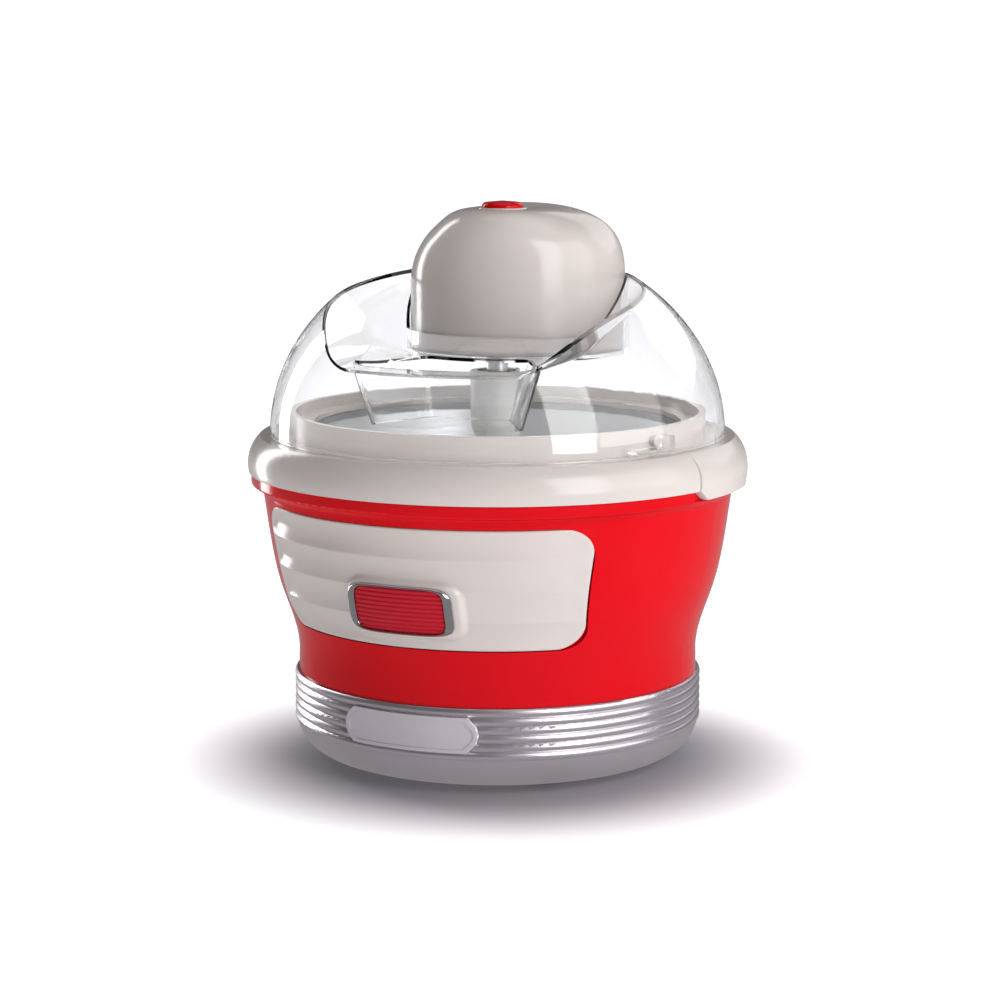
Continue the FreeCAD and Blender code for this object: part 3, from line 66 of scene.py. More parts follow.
# %% Place the camera
CAMERA_TURN = math.radians(25.0)
CAMERA_TILT = math.radians(9.172)
CAMERA_DISTANCE = 1.3215
AIM_HEIGHT = 0.11897
AIM_ASIDE = 0.00115
LENS_LENGTH_MM = 101.81
SENSOR_WIDTH_MM = 36.0


def add_object(name, data):
    """Wraps a mesh, a lamp or a camera in an object and puts it into the scene."""
    thing = bpy.data.objects.new(name, data)
    bpy.context.scene.collection.objects.link(thing)
    return thing


camera = add_object("studio_camera", bpy.data.cameras.new("studio_camera"))
camera.data.lens = LENS_LENGTH_MM
camera.data.sensor_width = SENSOR_WIDTH_MM
camera_right = Vector((math.cos(CAMERA_TURN), math.sin(CAMERA_TURN), 0))
camera_back = Vector((
    math.sin(CAMERA_TURN) * math.cos(CAMERA_TILT),
    -math.cos(CAMERA_TURN) * math.cos(CAMERA_TILT),
    math.sin(CAMERA_TILT),
))
aim = Vector((0, 0, AIM_HEIGHT)) + camera_right * AIM_ASIDE
camera.location = aim + camera_back * CAMERA_DISTANCE
camera.rotation_mode = "QUATERNION"
camera.rotation_quaternion = (-camera_back).to_track_quat("-Z", "Y")
bpy.context.scene.camera = camera
print("camera at", [round(c, 3) for c in camera.location])

# %% [markdown]
# ## The paper floor
# A product picture like this one is made on a white sweep of paper that melts into the backdrop. Lamps
# alone could make the paper white, but they would also fill in the soft shadow at the machine's foot.
# So the paper glows by itself, and its glow is dimmed round the machine's foot, a little more in front:
# this paints a soft shadow there, over the faint real shadow that the lamps cast on the dim paper. Glossy
# surfaces don't mirror the sheet: what they show of the paper comes from the sky below, where it is easier
# to steer.

# %% Lay the paper
FLOOR_SIZE = 30.0


def flat_sheet(name, size):
    """A level square on the ground, with its middle at the origin."""
    half = size / 2
    corners = [(-half, -half, 0), (half, -half, 0), (half, half, 0), (-half, half, 0)]
    mesh = bpy.data.meshes.new(name)
    mesh.from_pydata(corners, [], [(0, 1, 2, 3)])
    return add_object(name, mesh)


floor = flat_sheet("paper_floor", FLOOR_SIZE)
floor.visible_glossy = False
print("paper is", FLOOR_SIZE, "m wide")

# %% Let the paper glow
PAPER_COLOUR = (0.28, 0.265, 0.295, 1)
PAPER_ROUGHNESS = 0.8
GLOW_COLOUR = (0.985, 0.98, 1, 1)
# The glow is dimmed round this middle, a little in front of the machine, which paints a shadow at its
# foot.
PAINTED_SHADE_MIDDLE = (0.006, -0.012, 0.0)
PAINTED_SHADE_RADIUS = 0.080
GLOW_RADIUS = 0.175
PAINTED_SHADE_GLOW = 0.05
OPEN_GLOW = 1.06


def new_finish(name):
    """A new material, with its node tree and its shader."""
    finish = bpy.data.materials.new(name)
    finish.use_nodes = True
    return finish, finish.node_tree, finish.node_tree.nodes["Principled BSDF"]


def preset(node, values):
    """Sets the fixed values of a node's sockets, named or numbered."""
    for socket, value in values.items():
        node.inputs[socket].default_value = value


paper, paper_tree, paper_shader = new_finish("white_paper")
preset(paper_shader, {"Base Color": PAPER_COLOUR, "Roughness": PAPER_ROUGHNESS})
preset(paper_shader, {"Emission Color": GLOW_COLOUR})
paper_place = paper_tree.nodes.new("ShaderNodeTexCoord")
from_middle = paper_tree.nodes.new("ShaderNodeVectorMath")
from_middle.operation = "DISTANCE"
preset(from_middle, {1: PAINTED_SHADE_MIDDLE})
# Painted shadow: the glow is low close to the machine and rises to full further out.
glow = paper_tree.nodes.new("ShaderNodeMapRange")
glow.interpolation_type = "SMOOTHSTEP"
preset(glow, {"From Min": PAINTED_SHADE_RADIUS, "From Max": GLOW_RADIUS})
preset(glow, {"To Min": PAINTED_SHADE_GLOW, "To Max": OPEN_GLOW})
paper_tree.links.new(paper_place.outputs["Object"], from_middle.inputs[0])
paper_tree.links.new(from_middle.outputs["Value"], glow.inputs["Value"])
paper_tree.links.new(glow.outputs["Result"], paper_shader.inputs["Emission Strength"])
floor.data.materials.append(paper)
print("paper glows fully from", GLOW_RADIUS, "m out")

# %% [markdown]
# ## The sky
# Blender's world lights the scene from every side. An even white one would look right behind the
# machine, but it would flood all the shadows too. A Light Path node tells the kinds of rays apart, so
# each can find its own brightness. Soft light finds only a faint fill, and mirror rays that look
# down find the paler tone of the paper.

# %% Faint fill and mirrored paper
FILL_GLOW = 0.08
MIRRORED_PAPER_GLOW = 0.33
FADE_START = 0.02
FADE_END = -0.10

sky = bpy.data.worlds.new("studio_sky")
sky.use_nodes = True
sky_tree = sky.node_tree
ray = sky_tree.nodes.new("ShaderNodeLightPath")
looking = sky_tree.nodes.new("ShaderNodeTexCoord")
axes = sky_tree.nodes.new("ShaderNodeSeparateXYZ")
downward = sky_tree.nodes.new("ShaderNodeMapRange")
preset(downward, {"From Min": FADE_START, "From Max": FADE_END})
preset(downward, {"To Min": FILL_GLOW, "To Max": MIRRORED_PAPER_GLOW})
mirrored = sky_tree.nodes.new("ShaderNodeMix")
preset(mirrored, {"A": FILL_GLOW})
sky_tree.links.new(looking.outputs["Generated"], axes.inputs["Vector"])
sky_tree.links.new(axes.outputs["Z"], downward.inputs["Value"])
sky_tree.links.new(ray.outputs["Is Glossy Ray"], mirrored.inputs["Factor"])
sky_tree.links.new(downward.outputs["Result"], mirrored.inputs["B"])
print("sky fills with", FILL_GLOW, "and mirrors the paper at", MIRRORED_PAPER_GLOW)

# %% [markdown]
# ## The white backdrop
# The camera looks past the machine, and through its clear lid, at bright white. A ray that has passed
# one wall of the lid can also be mirrored by another on its way out. If it then met the faint fill,
# the lid's edges would be almost black. Such rays get a share of the white, which leaves them grey.

# %% Join fill and backdrop
BACKDROP_GLOW = 1.05
EDGE_GLOW = 0.6
WHITE = (1.0, 1.0, 1.0, 1.0)


def sky_sum(operation):
    """A node that does one sum on the sky's numbers."""
    node = sky_tree.nodes.new("ShaderNodeMath")
    node.operation = operation
    return node


seen = sky_sum("MAXIMUM")
sky_tree.links.new(ray.outputs["Is Camera Ray"], seen.inputs[0])
sky_tree.links.new(ray.outputs["Is Transmission Ray"], seen.inputs[1])
inside = sky_sum("MULTIPLY")
inside.use_clamp = True
sky_tree.links.new(ray.outputs["Is Glossy Ray"], inside.inputs[0])
sky_tree.links.new(ray.outputs["Transmission Depth"], inside.inputs[1])
edge = sky_sum("MULTIPLY_ADD")
preset(edge, {1: EDGE_GLOW})
sky_tree.links.new(inside.outputs["Value"], edge.inputs[0])
sky_tree.links.new(seen.outputs["Value"], edge.inputs[2])
strength = sky_tree.nodes.new("ShaderNodeMix")
preset(strength, {"B": BACKDROP_GLOW})
sky_tree.links.new(edge.outputs["Value"], strength.inputs["Factor"])
sky_tree.links.new(mirrored.outputs["Result"], strength.inputs["A"])
backdrop = sky_tree.nodes["Background"]
preset(backdrop, {"Color": WHITE})
sky_tree.links.new(strength.outputs["Result"], backdrop.inputs["Strength"])
bpy.context.scene.world = sky
bpy.context.scene.view_settings.view_transform = "Standard"
print("backdrop glows at", BACKDROP_GLOW)

# %% [markdown]
# ## The softboxes
# Point lamps would leave small hard dots on glossy plastic. Large soft panels show as long, smooth
# highlights instead. A narrow strip on the left draws the bright line down that side, and wide
# boxes on the right, above and behind shape the rest. Every box looks at the middle of the machine.

# %% Hang the softboxes
LIGHT_AIM = Vector((0, 0, 0.15))


def softbox(name, place, width, height, power):
    """A rectangular lamp that looks at the machine: metres for sizes and watts for power."""
    lamp = bpy.data.lights.new(name, "AREA")
    lamp.shape = "RECTANGLE"
    lamp.size = width
    lamp.size_y = height
    lamp.energy = power
    box = add_object(name, lamp)
    box.location = place
    box.rotation_euler = (LIGHT_AIM - Vector(place)).to_track_quat("-Z", "Y").to_euler()
    return box


softboxes = [
    softbox("left_strip", place=(-1.15, 0.36, 0.45), width=0.26, height=1.3, power=7.6),
    softbox("right_softbox", place=(1.10, -0.58, 0.60), width=0.55, height=1.10, power=9.8),
    softbox("right_wrap", place=(1.30, 0.10, 0.62), width=1.00, height=1.00, power=6.0),
    softbox("top_softbox", place=(0.1, 0.15, 1.7), width=1.5, height=1.2, power=5.2),
    softbox("back_softbox", place=(0.3, 1.6, 0.9), width=1.6, height=0.8, power=4.0),
]
print("softboxes:", [box.name for box in softboxes])

# %% [markdown]
# ## Tools for finishes
# Moulded plastic, brushed metal and rubber are never one flat colour. Each finish below is built from
# a few small helpers: a grain of noise in the object's own space, a map that squeezes it into a range,
# a tint between two near colours, and a shallow relief that bends the light. Noise needs no unwrapping
# and no picture file, which is why it was chosen over painted textures.

# %% Grain and range
GRAIN_LOW = 0.3
GRAIN_HIGH = 0.7
EVEN = (1, 1, 1)


def grain(tree, scale, detail, stretch=EVEN):
    """Noise at the point on the piece, in metres, packed tighter along the stretched axes."""
    where = tree.nodes.new("ShaderNodeTexCoord")
    mapping = tree.nodes.new("ShaderNodeMapping")
    preset(mapping, {"Scale": stretch})
    noise = tree.nodes.new("ShaderNodeTexNoise")
    preset(noise, {"Scale": scale, "Detail": detail})
    tree.links.new(where.outputs["Object"], mapping.inputs["Vector"])
    tree.links.new(mapping.outputs["Vector"], noise.inputs["Vector"])
    return noise.outputs["Fac"]


def squeeze(tree, value, low, high):
    """Maps the usual span of a grain into low..high."""
    span = tree.nodes.new("ShaderNodeMapRange")
    preset(span, {"From Min": GRAIN_LOW, "From Max": GRAIN_HIGH, "To Min": low, "To Max": high})
    tree.links.new(value, span.inputs["Value"])
    return span.outputs["Result"]


print("a grain is used from", GRAIN_LOW, "to", GRAIN_HIGH)


# %% Tint and relief
def tint(tree, value, dark, light):
    """A colour that drifts between two near tones with a grain."""
    ramp = tree.nodes.new("ShaderNodeValToRGB")
    first, last = ramp.color_ramp.elements
    first.color = (*dark, 1)
    first.position = GRAIN_LOW
    last.color = (*light, 1)
    last.position = GRAIN_HIGH
    tree.links.new(value, ramp.inputs["Fac"])
    return ramp.outputs["Color"]


def relief(tree, shader, value, depth):
    """Bends the light as if the grain were that deep, in metres."""
    bump = tree.nodes.new("ShaderNodeBump")
    preset(bump, {"Strength": 1.0, "Distance": depth})
    tree.links.new(value, bump.inputs["Height"])
    tree.links.new(bump.outputs["Normal"], shader.inputs["Normal"])


def dress(tree, shader, colour, roughness, texture, depth):
    """Hands a colour, a roughness and a relief to the shader."""
    tree.links.new(colour, shader.inputs["Base Color"])
    tree.links.new(roughness, shader.inputs["Roughness"])
    relief(tree, shader, texture, depth)


print("tools for finishes: grain, squeeze, tint, relief and dress")

# %% [markdown]
# ## Glossy moulded plastic
# The red housing and the cream pieces are polished ABS. Close to, such plastic has a very faint
# ripple, like the peel of an orange, and its gloss is a touch uneven from handling. One roughness for
# all would look like paint on a screen, so a grain varies it. A thin clear coat sharpens the highlights.

# %% Red, cream and white plastic
PLASTIC_DRIFT = 9.0
HANDLING_SCALE = 38.0
PEEL_SCALE = 420.0
PEEL_DEPTH = 0.012 * MM
SMOOTHER = 0.03
ROUGHER = 0.05


def gloss_plastic(name, dark, light, rough, shine=0.5):
    """Polished plastic with a faint drift of colour and gloss."""
    finish, tree, shader = new_finish(name)
    preset(shader, {"Specular IOR Level": shine, "IOR": 1.44, "Coat Weight": 0.05, "Coat Roughness": 0.04})
    colour = tint(tree, grain(tree, PLASTIC_DRIFT, detail=4.0), dark, light)
    handling = grain(tree, HANDLING_SCALE, detail=5.0)
    roughness = squeeze(tree, handling, rough - SMOOTHER, rough + ROUGHER)
    dress(tree, shader, colour, roughness, grain(tree, PEEL_SCALE, detail=2.0), PEEL_DEPTH)
    return finish


red_plastic = gloss_plastic("red_plastic", (0.60, 0.0012, 0.006), (0.66, 0.0025, 0.009), 0.13, shine=0.2)
cream_plastic = gloss_plastic("cream_plastic", (0.60, 0.545, 0.515), (0.66, 0.60, 0.57), 0.17)
badge_red = gloss_plastic("badge_red", (0.44, 0.003, 0.016), (0.52, 0.005, 0.022), 0.15)
white_plastic = gloss_plastic("white_plastic", (0.70, 0.69, 0.66), (0.76, 0.75, 0.72), 0.25)
print("plastics:", red_plastic.name, cream_plastic.name, badge_red.name, white_plastic.name)

# %% [markdown]
# ## Metals
# The ribbed base wears a satin silver lacquer, the badge frame is bright chrome, and inside there are
# spun aluminium, steel and bronze. Brushing and spinning leave marks that run one way. Real scratches
# could be drawn one by one, but a grain that is packed tight across the marks and left long along
# them gives the same soft streak. Lacquered and dulled metal mirrors less, so its purity is below one.

# %% Satin metals
METAL_DRIFT = 14.0
ROUND_THE_PIECE = (1, 1, 9)
UP_AND_DOWN = (9, 9, 1)
SPUN = (1, 1, 14)


def metal(name, dark, light, rough, scale, depth, marks=EVEN, purity=1.0):
    """Metal whose roughness and relief follow the same marks."""
    finish, tree, shader = new_finish(name)
    preset(shader, {"Metallic": purity})
    texture = grain(tree, scale, detail=4.0, stretch=marks)
    colour = tint(tree, grain(tree, METAL_DRIFT, detail=3.0), dark, light)
    dress(tree, shader, colour, squeeze(tree, texture, *rough), texture, depth)
    return finish


satin_silver = metal(
    "satin_silver", dark=(0.66, 0.61, 0.655), light=(0.74, 0.69, 0.735), rough=(0.29, 0.36),
    scale=60.0, depth=0.001 * MM, marks=ROUND_THE_PIECE, purity=0.9)
plate_silver = metal(
    "plate_silver", dark=(0.70, 0.66, 0.70), light=(0.80, 0.76, 0.80), rough=(0.30, 0.40),
    scale=80.0, depth=0.002 * MM, marks=UP_AND_DOWN, purity=0.45)
spun_aluminium = metal(
    "spun_aluminium", dark=(0.66, 0.66, 0.67), light=(0.74, 0.74, 0.75), rough=(0.34, 0.46),
    scale=90.0, depth=0.002 * MM, marks=SPUN, purity=0.7)
print("satin metals:", satin_silver.name, plate_silver.name, spun_aluminium.name)

# %% Bright and bare metals
bright_chrome = metal(
    "bright_chrome", dark=(0.46, 0.46, 0.48), light=(0.54, 0.54, 0.56), rough=(0.06, 0.12),
    scale=120.0, depth=0.004 * MM)
plated_steel = metal(
    "plated_steel", dark=(0.42, 0.42, 0.43), light=(0.52, 0.52, 0.52), rough=(0.24, 0.40),
    scale=150.0, depth=0.008 * MM)
oiled_bronze = metal(
    "oiled_bronze", dark=(0.38, 0.22, 0.08), light=(0.50, 0.31, 0.13), rough=(0.26, 0.44),
    scale=300.0, depth=0.01 * MM)
print("bright and bare metals:", bright_chrome.name, plated_steel.name, oiled_bronze.name)

# %% [markdown]
# ## Rubber, seals and plain engineering plastics
# Feet, seat pad and cord gland are matt rubber with a dusty bloom, and the bowl holds a silicone seal
# and a frozen gel. The bowl's outer wall, the gear plate and the larger gears are uncoated plastic with
# a fine spark-eroded texture from the mould. Each could have its own nodes, but one recipe serves them
# all: a fine grain for the relief and the roughness, and a coarse one for the colour.

# %% Rubber, seal and coolant
MATT_DRIFT = 30.0


def matt(name, dark, light, rough, scale, depth):
    """A dull surface with a fine texture."""
    finish, tree, shader = new_finish(name)
    texture = grain(tree, scale, detail=5.0)
    colour = tint(tree, grain(tree, MATT_DRIFT, detail=4.0), dark, light)
    dress(tree, shader, colour, squeeze(tree, texture, *rough), texture, depth)
    return finish


dark_rubber = matt(
    "dark_rubber", dark=(0.018, 0.017, 0.017), light=(0.035, 0.034, 0.033), rough=(0.62, 0.85),
    scale=700.0, depth=0.04 * MM)
grey_silicone = matt(
    "grey_silicone", dark=(0.30, 0.30, 0.30), light=(0.37, 0.37, 0.37), rough=(0.45, 0.62),
    scale=400.0, depth=0.02 * MM)
frozen_gel = matt(
    "frozen_gel", dark=(0.16, 0.33, 0.55), light=(0.30, 0.48, 0.68), rough=(0.30, 0.55),
    scale=160.0, depth=0.05 * MM)
print("soft finishes:", dark_rubber.name, grey_silicone.name, frozen_gel.name)

# %% Uncoated plastics
grey_plastic = matt(
    "grey_plastic", dark=(0.22, 0.225, 0.235), light=(0.27, 0.275, 0.285), rough=(0.38, 0.52),
    scale=900.0, depth=0.03 * MM)
black_plastic = matt(
    "black_plastic", dark=(0.012, 0.012, 0.013), light=(0.022, 0.022, 0.023), rough=(0.35, 0.50),
    scale=900.0, depth=0.03 * MM)
natural_acetal = matt(
    "natural_acetal", dark=(0.66, 0.64, 0.57), light=(0.74, 0.72, 0.65), rough=(0.35, 0.50),
    scale=500.0, depth=0.02 * MM)
print("plain plastics:", grey_plastic.name, black_plastic.name, natural_acetal.name)

# %% [markdown]
# ## The clear lid
# The dome is clear styrene, a few millimetres thick. A see-through shader without any bend would be
# quicker, but then the edges that make clear plastic readable would be lost. So light is bent in a
# real wall with two sides. The bend is set weaker than styrene's own, which keeps the edges grey
# instead of black, and a clear coat brings back some of the shine that a weaker bend takes away.

# %% Clear styrene
CLEAR_COLOUR = (0.975, 0.98, 0.985, 1)
WEAK_BEND = 1.26
SMEAR_SCALE = 24.0
SMEAR_ROUGHNESS = 0.05

clear_styrene, clear_tree, clear_shader = new_finish("clear_styrene")
preset(clear_shader, {"Base Color": CLEAR_COLOUR, "Transmission Weight": 1.0, "IOR": WEAK_BEND})
preset(clear_shader, {"Coat Weight": 0.55, "Coat Roughness": 0.02})
smears = squeeze(clear_tree, grain(clear_tree, SMEAR_SCALE, detail=5.0), 0.0, SMEAR_ROUGHNESS)
clear_tree.links.new(smears, clear_shader.inputs["Roughness"])
print("index of refraction of the lid:", WEAK_BEND)

# %% [markdown]
# ## The wall of the housing
# The front panel and its badge hug the red housing, which flares from the base to the top. Its outline
# could be written down a second time, but then the two might drift apart. A ray that is shot from
# behind at any height hits the plain back of the wall and measures its radius there.

# %% Measure the housing wall
WELL_BEHIND = 0.3


def solid_tree(name):
    """A search tree over one solid, so that rays can measure it."""
    shape = bmesh.new()
    shape.from_mesh(nodes[name].data)
    tree = BVHTree.FromBMesh(shape)
    shape.free()
    return tree


housing_tree = solid_tree("outer_housing")


def wall_radius(height):
    """Radius of the housing's outside at a height."""
    hit = housing_tree.ray_cast(Vector((0, WELL_BEHIND, height)), Vector((0, -1, 0)))[0]
    return hit.y


panel_low, panel_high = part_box("front_panel")
PANEL_FOOT = panel_low.z
PANEL_TALL = panel_high.z - panel_low.z
print("panel foot and height in mm:", round(PANEL_FOOT / MM, 1), round(PANEL_TALL / MM, 1))
print("wall radius at the panel's foot in mm:", round(wall_radius(PANEL_FOOT) / MM, 1))

# %% [markdown]
# ## The fluted front panel
# The cream panel is one moulding with four wide hollow flutes, like a row of shallow gutters that meet
# in crisp crests, and a raised pad in front for the badge. It could be carved with many cuts, but a
# height over the housing wall is easier to steer: we lay a fine net over the wall and push each
# point in or out. First come its outline, with round corners, and the outline of the pad.

# %% Outlines of the panel and the pad
PANEL_HALF_ANGLE = math.radians(49.0)
PANEL_CORNER = 12 * MM
PAD_LOW = 5.5 * MM
PAD_TALL = 26 * MM
PAD_HALF_WIDTH = 27.5 * MM
PAD_ASIDE = 2.1 * MM
PAD_CORNER = 8 * MM


def half_width(rise):
    """Half of the panel's width, seen from the front, with its round corners."""
    foot_wide = wall_radius(PANEL_FOOT) * math.sin(PANEL_HALF_ANGLE)
    head_wide = wall_radius(PANEL_FOOT + PANEL_TALL) * math.sin(PANEL_HALF_ANGLE)
    straight = foot_wide + (head_wide - foot_wide) * rise / PANEL_TALL
    into_corner = PANEL_CORNER - min(rise, PANEL_TALL - rise)
    if into_corner <= 0:
        return straight
    return straight - PANEL_CORNER + math.sqrt(max(PANEL_CORNER ** 2 - into_corner ** 2, 0.0))


def pad_distance(aside, rise):
    """How far a point lies inside the round-cornered pad; negative outside."""
    beside = abs(aside - PAD_ASIDE) - PAD_HALF_WIDTH + PAD_CORNER
    above = abs(rise - PAD_LOW - PAD_TALL / 2) - PAD_TALL / 2 + PAD_CORNER
    outside = math.hypot(max(beside, 0), max(above, 0))
    return PAD_CORNER - outside - min(max(beside, above), 0)


print("panel is", round(2 * half_width(PANEL_TALL / 2) / MM), "mm wide at half height")
print("pad is", round(2 * PAD_HALF_WIDTH / MM), "mm wide")

# %% [markdown]
# ## The face of the panel
# Each flute is a parabola, deepest in its middle. It runs out towards the panel's sides and gets
# shallower to the right, where it shows less. The pad rises out of the flutes on a short soft slope,
# half inside its outline and half outside, and a quarter circle rounds the panel's edge.

# %% Height of the panel's face
PANEL_PROUD = 0.5 * MM
PANEL_EDGE = 1.4 * MM
FLUTE_COUNT = 4
FLUTE_DEPTH = 1.4 * MM
FLUTE_SHALLOW = 0.5
FLUTE_FADE = 9 * MM
PAD_PROUD = 2.2 * MM
PAD_SLOPE = 2.6 * MM


def smooth(share):
    """Eases from 0 to 1 without a kink at either end."""
    share = min(max(share, 0.0), 1.0)
    return share * share * (3 - 2 * share)


def panel_height(aside, rise, to_side):
    """Height of the panel's face over the housing wall."""
    along_flute = rise / PANEL_TALL * FLUTE_COUNT % 1.0
    hollow = FLUTE_DEPTH * 4 * along_flute * (1 - along_flute) * smooth(to_side / FLUTE_FADE)
    hollow *= 1 - FLUTE_SHALLOW * smooth(aside / panel_high.x)
    face = PANEL_PROUD - hollow
    pad_share = smooth(0.5 + pad_distance(aside, rise) / PAD_SLOPE)
    face += (PAD_PROUD - face) * pad_share
    to_edge = min(to_side, rise, PANEL_TALL - rise)
    return face - PANEL_EDGE * (1 - math.sqrt(1 - (1 - min(to_edge / PANEL_EDGE, 1)) ** 2))


print("pad stands", round(PAD_PROUD / MM, 1), "mm out from the wall")

# %% [markdown]
# ## Nets that become pieces
# The panel, the badge and the motor cover are all made in the same way: a net of points that a formula
# places by column and row, with a wall behind it. Sculpting or a cage of a few points would be quicker to
# begin with, but neither can follow a measured wall so closely. Three helpers lay a net, thicken it, and
# hang it on the body it moves with, hiding the solids it stands for.

# %% Tools for new pieces
def net_piece(name, columns, rows, place):
    """A sheet of quads whose points are given by a function of column and row."""
    points = [place(column, row) for row in range(rows + 1) for column in range(columns + 1)]
    stride = columns + 1
    faces = [(row * stride + column, row * stride + column + 1,
              (row + 1) * stride + column + 1, (row + 1) * stride + column)
             for row in range(rows) for column in range(columns)]
    mesh = bpy.data.meshes.new(name)
    mesh.from_pydata(points, [], faces)
    mesh.shade_smooth()
    return add_object(name, mesh)


def thicken(piece, wall):
    """Gives a sheet a wall behind its face."""
    shell = piece.modifiers.new("wall", "SOLIDIFY")
    shell.thickness = wall
    shell.offset = -1


def settle(piece, body, slot, finish, *solids):
    """Gives a new piece its finish, hangs it on the body it rides on and hides the solids it stands for.
    """
    piece.data.materials.append(finish)
    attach(piece, body)
    if solids:
        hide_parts(*solids)


print("tools for pieces: net_piece, thicken and settle")

# %% Lay the panel's net
PANEL_ROWS = 96
PANEL_COLUMNS = 220
PANEL_WALL = 1.0 * MM


def panel_point(column, row):
    """A point of the panel's face, bent round the wall."""
    rise = PANEL_TALL * row / PANEL_ROWS
    height = PANEL_FOOT + rise
    radius = wall_radius(height)
    reach = half_width(rise)
    share = 2 * column / PANEL_COLUMNS - 1
    turn = math.asin(reach / radius) * share
    aside = radius * math.sin(turn)
    to_side = radius * math.asin(reach / radius) * (1 - abs(share))
    radius += panel_height(aside, rise, to_side)
    return (radius * math.sin(turn), -radius * math.cos(turn), height)


panel = net_piece("fluted_panel", PANEL_COLUMNS, PANEL_ROWS, panel_point)
thicken(panel, PANEL_WALL)
settle(panel, "housing", "cream_gloss", cream_plastic, "front_panel")
print("panel net has", len(panel.data.polygons), "faces")

# %% [markdown]
# ## Soft edges
# No moulded edge is perfectly sharp: a radius of half a millimetre catches a thin line of light. The
# solids keep their own meshes, so the radius is a bevel that is worked out as they are shown.

# %% Soften the edges that show
EDGE_RADIUS = {
    "locking_ring": 0.7 * MM,
    "name_plate": 0.5 * MM,
    "outer_housing": 0.6 * MM,
    "clear_lid": 0.55 * MM,
}
SHARP_ANGLE = math.radians(35)

for name, radius in EDGE_RADIUS.items():
    soft_edge = nodes[name].modifiers.new("soft_edge", "BEVEL")
    soft_edge.width = radius
    soft_edge.segments = 2
    soft_edge.limit_method = "ANGLE"
    soft_edge.angle_limit = SHARP_ANGLE
    soft_edge.harden_normals = True
    soft_edge.use_clamp_overlap = True
print("softened:", list(EDGE_RADIUS))

# %% [markdown]
# ## The badge
# On the pad sits a chrome frame, thick at its bulging ends and thin above and below, round a ribbed
# red plate. Its outline is a squared-off oval, which one formula gives: raise sine and cosine to a
# small power. Both pieces bend with the housing, so their points are placed on the measured wall.

# %% Place points on the wall
BADGE_ASIDE = 0.8 * MM
BADGE_MIDDLE = PANEL_FOOT + PAD_LOW + PAD_TALL / 2


def on_wall(aside, height, out):
    """A point at a distance round the wall, at a height, and so far out from it."""
    radius = wall_radius(height)
    turn = aside / radius
    return ((radius + out) * math.sin(turn), -(radius + out) * math.cos(turn), height)


def squared_oval(half_wide, half_tall, squareness, turn):
    """A point of the outline: an ellipse at a squareness of 2, nearly a rectangle when it is large."""
    power = 2 / squareness
    aside = math.copysign(abs(math.cos(turn)) ** power, math.cos(turn))
    rise = math.copysign(abs(math.sin(turn)) ** power, math.sin(turn))
    return half_wide * aside, half_tall * rise


print("badge middle at a height of", round(BADGE_MIDDLE / MM, 1), "mm")

# %% Chrome frame
FRAME_OUTER = (25.0 * MM, 11.6 * MM, 5.0)
FRAME_INNER = (20.9 * MM, 10.2 * MM, 6.0)
FRAME_RISE = 2.3 * MM
FRAME_SUNK = 0.3 * MM
FRAME_FULLNESS = 0.7
ARCH_START = 0.06
ARCH_SPAN = 0.80
FRAME_WALL = 0.4 * MM
FRAME_STEPS = 240
FRAME_BANDS = 10
TOUCHING = 0.02 * MM


def frame_point(column, row):
    """A point of the frame, which arches up from its outer edge and down again to the plate."""
    turn = 2 * math.pi * column / FRAME_STEPS
    share = row / FRAME_BANDS
    outer = squared_oval(*FRAME_OUTER, turn)
    inner = squared_oval(*FRAME_INNER, turn)
    aside = outer[0] + (inner[0] - outer[0]) * share
    rise = outer[1] + (inner[1] - outer[1]) * share
    arch = math.sin(math.pi * (ARCH_START + ARCH_SPAN * share)) ** FRAME_FULLNESS
    out = PAD_PROUD - FRAME_SUNK + FRAME_RISE * arch
    return on_wall(BADGE_ASIDE + aside, BADGE_MIDDLE + rise, out)


def weld(piece):
    """Joins points that lie on each other, such as the two ends of a closed band."""
    shape = bmesh.new()
    shape.from_mesh(piece.data)
    bmesh.ops.remove_doubles(shape, verts=shape.verts, dist=TOUCHING)
    bmesh.ops.recalc_face_normals(shape, faces=shape.faces)
    shape.to_mesh(piece.data)
    shape.free()
    piece.data.shade_smooth()


badge_frame = net_piece("badge_frame", FRAME_STEPS, FRAME_BANDS, frame_point)
weld(badge_frame)
thicken(badge_frame, FRAME_WALL)
settle(badge_frame, "housing", "chrome_trim", bright_chrome, "badge_bezel")
print("badge frame has", len(badge_frame.data.polygons), "faces")

# %% [markdown]
# ## The badge's plate
# The red plate fills the frame with ten fine level ribs over a slight crown. A bump in the material
# would give the ribs for less, but they catch the light from the side, so they are real. A rounded
# sine wave makes them: raised to a power below one, it gets full ribs with narrow grooves.

# %% Ribbed red plate
RIB_COUNT = 10
RIB_RISE = 0.5 * MM
RIB_FULLNESS = 0.6
PLATE_CROWN = 0.5 * MM
PLATE_LIFT = 0.35 * MM
PLATE_WALL = 0.3 * MM
BLUNT_END = 0.05
PLATE_COLUMNS = 72
PLATE_ROWS = RIB_COUNT * 8


def plate_point(column, row):
    """A point of the plate, inside the frame's inner outline."""
    half_wide, half_tall, squareness = FRAME_INNER
    level = 2 * row / PLATE_ROWS - 1
    across = 2 * column / PLATE_COLUMNS - 1
    reach = half_wide * max(1 - abs(level) ** squareness, BLUNT_END) ** (1 / squareness)
    rib = abs(math.sin(math.pi * RIB_COUNT * row / PLATE_ROWS)) ** RIB_FULLNESS
    crown = PLATE_CROWN * (1 - across ** 2) * (1 - level ** 2)
    out = PAD_PROUD + PLATE_LIFT + crown + RIB_RISE * rib
    return on_wall(BADGE_ASIDE + reach * across, BADGE_MIDDLE + half_tall * level, out)


badge_plate = net_piece("badge_plate", PLATE_COLUMNS, PLATE_ROWS, plate_point)
thicken(badge_plate, PLATE_WALL)
settle(badge_plate, "housing", "red_gloss", badge_red, "badge_insert")
print("badge plate has", RIB_COUNT, "ribs")

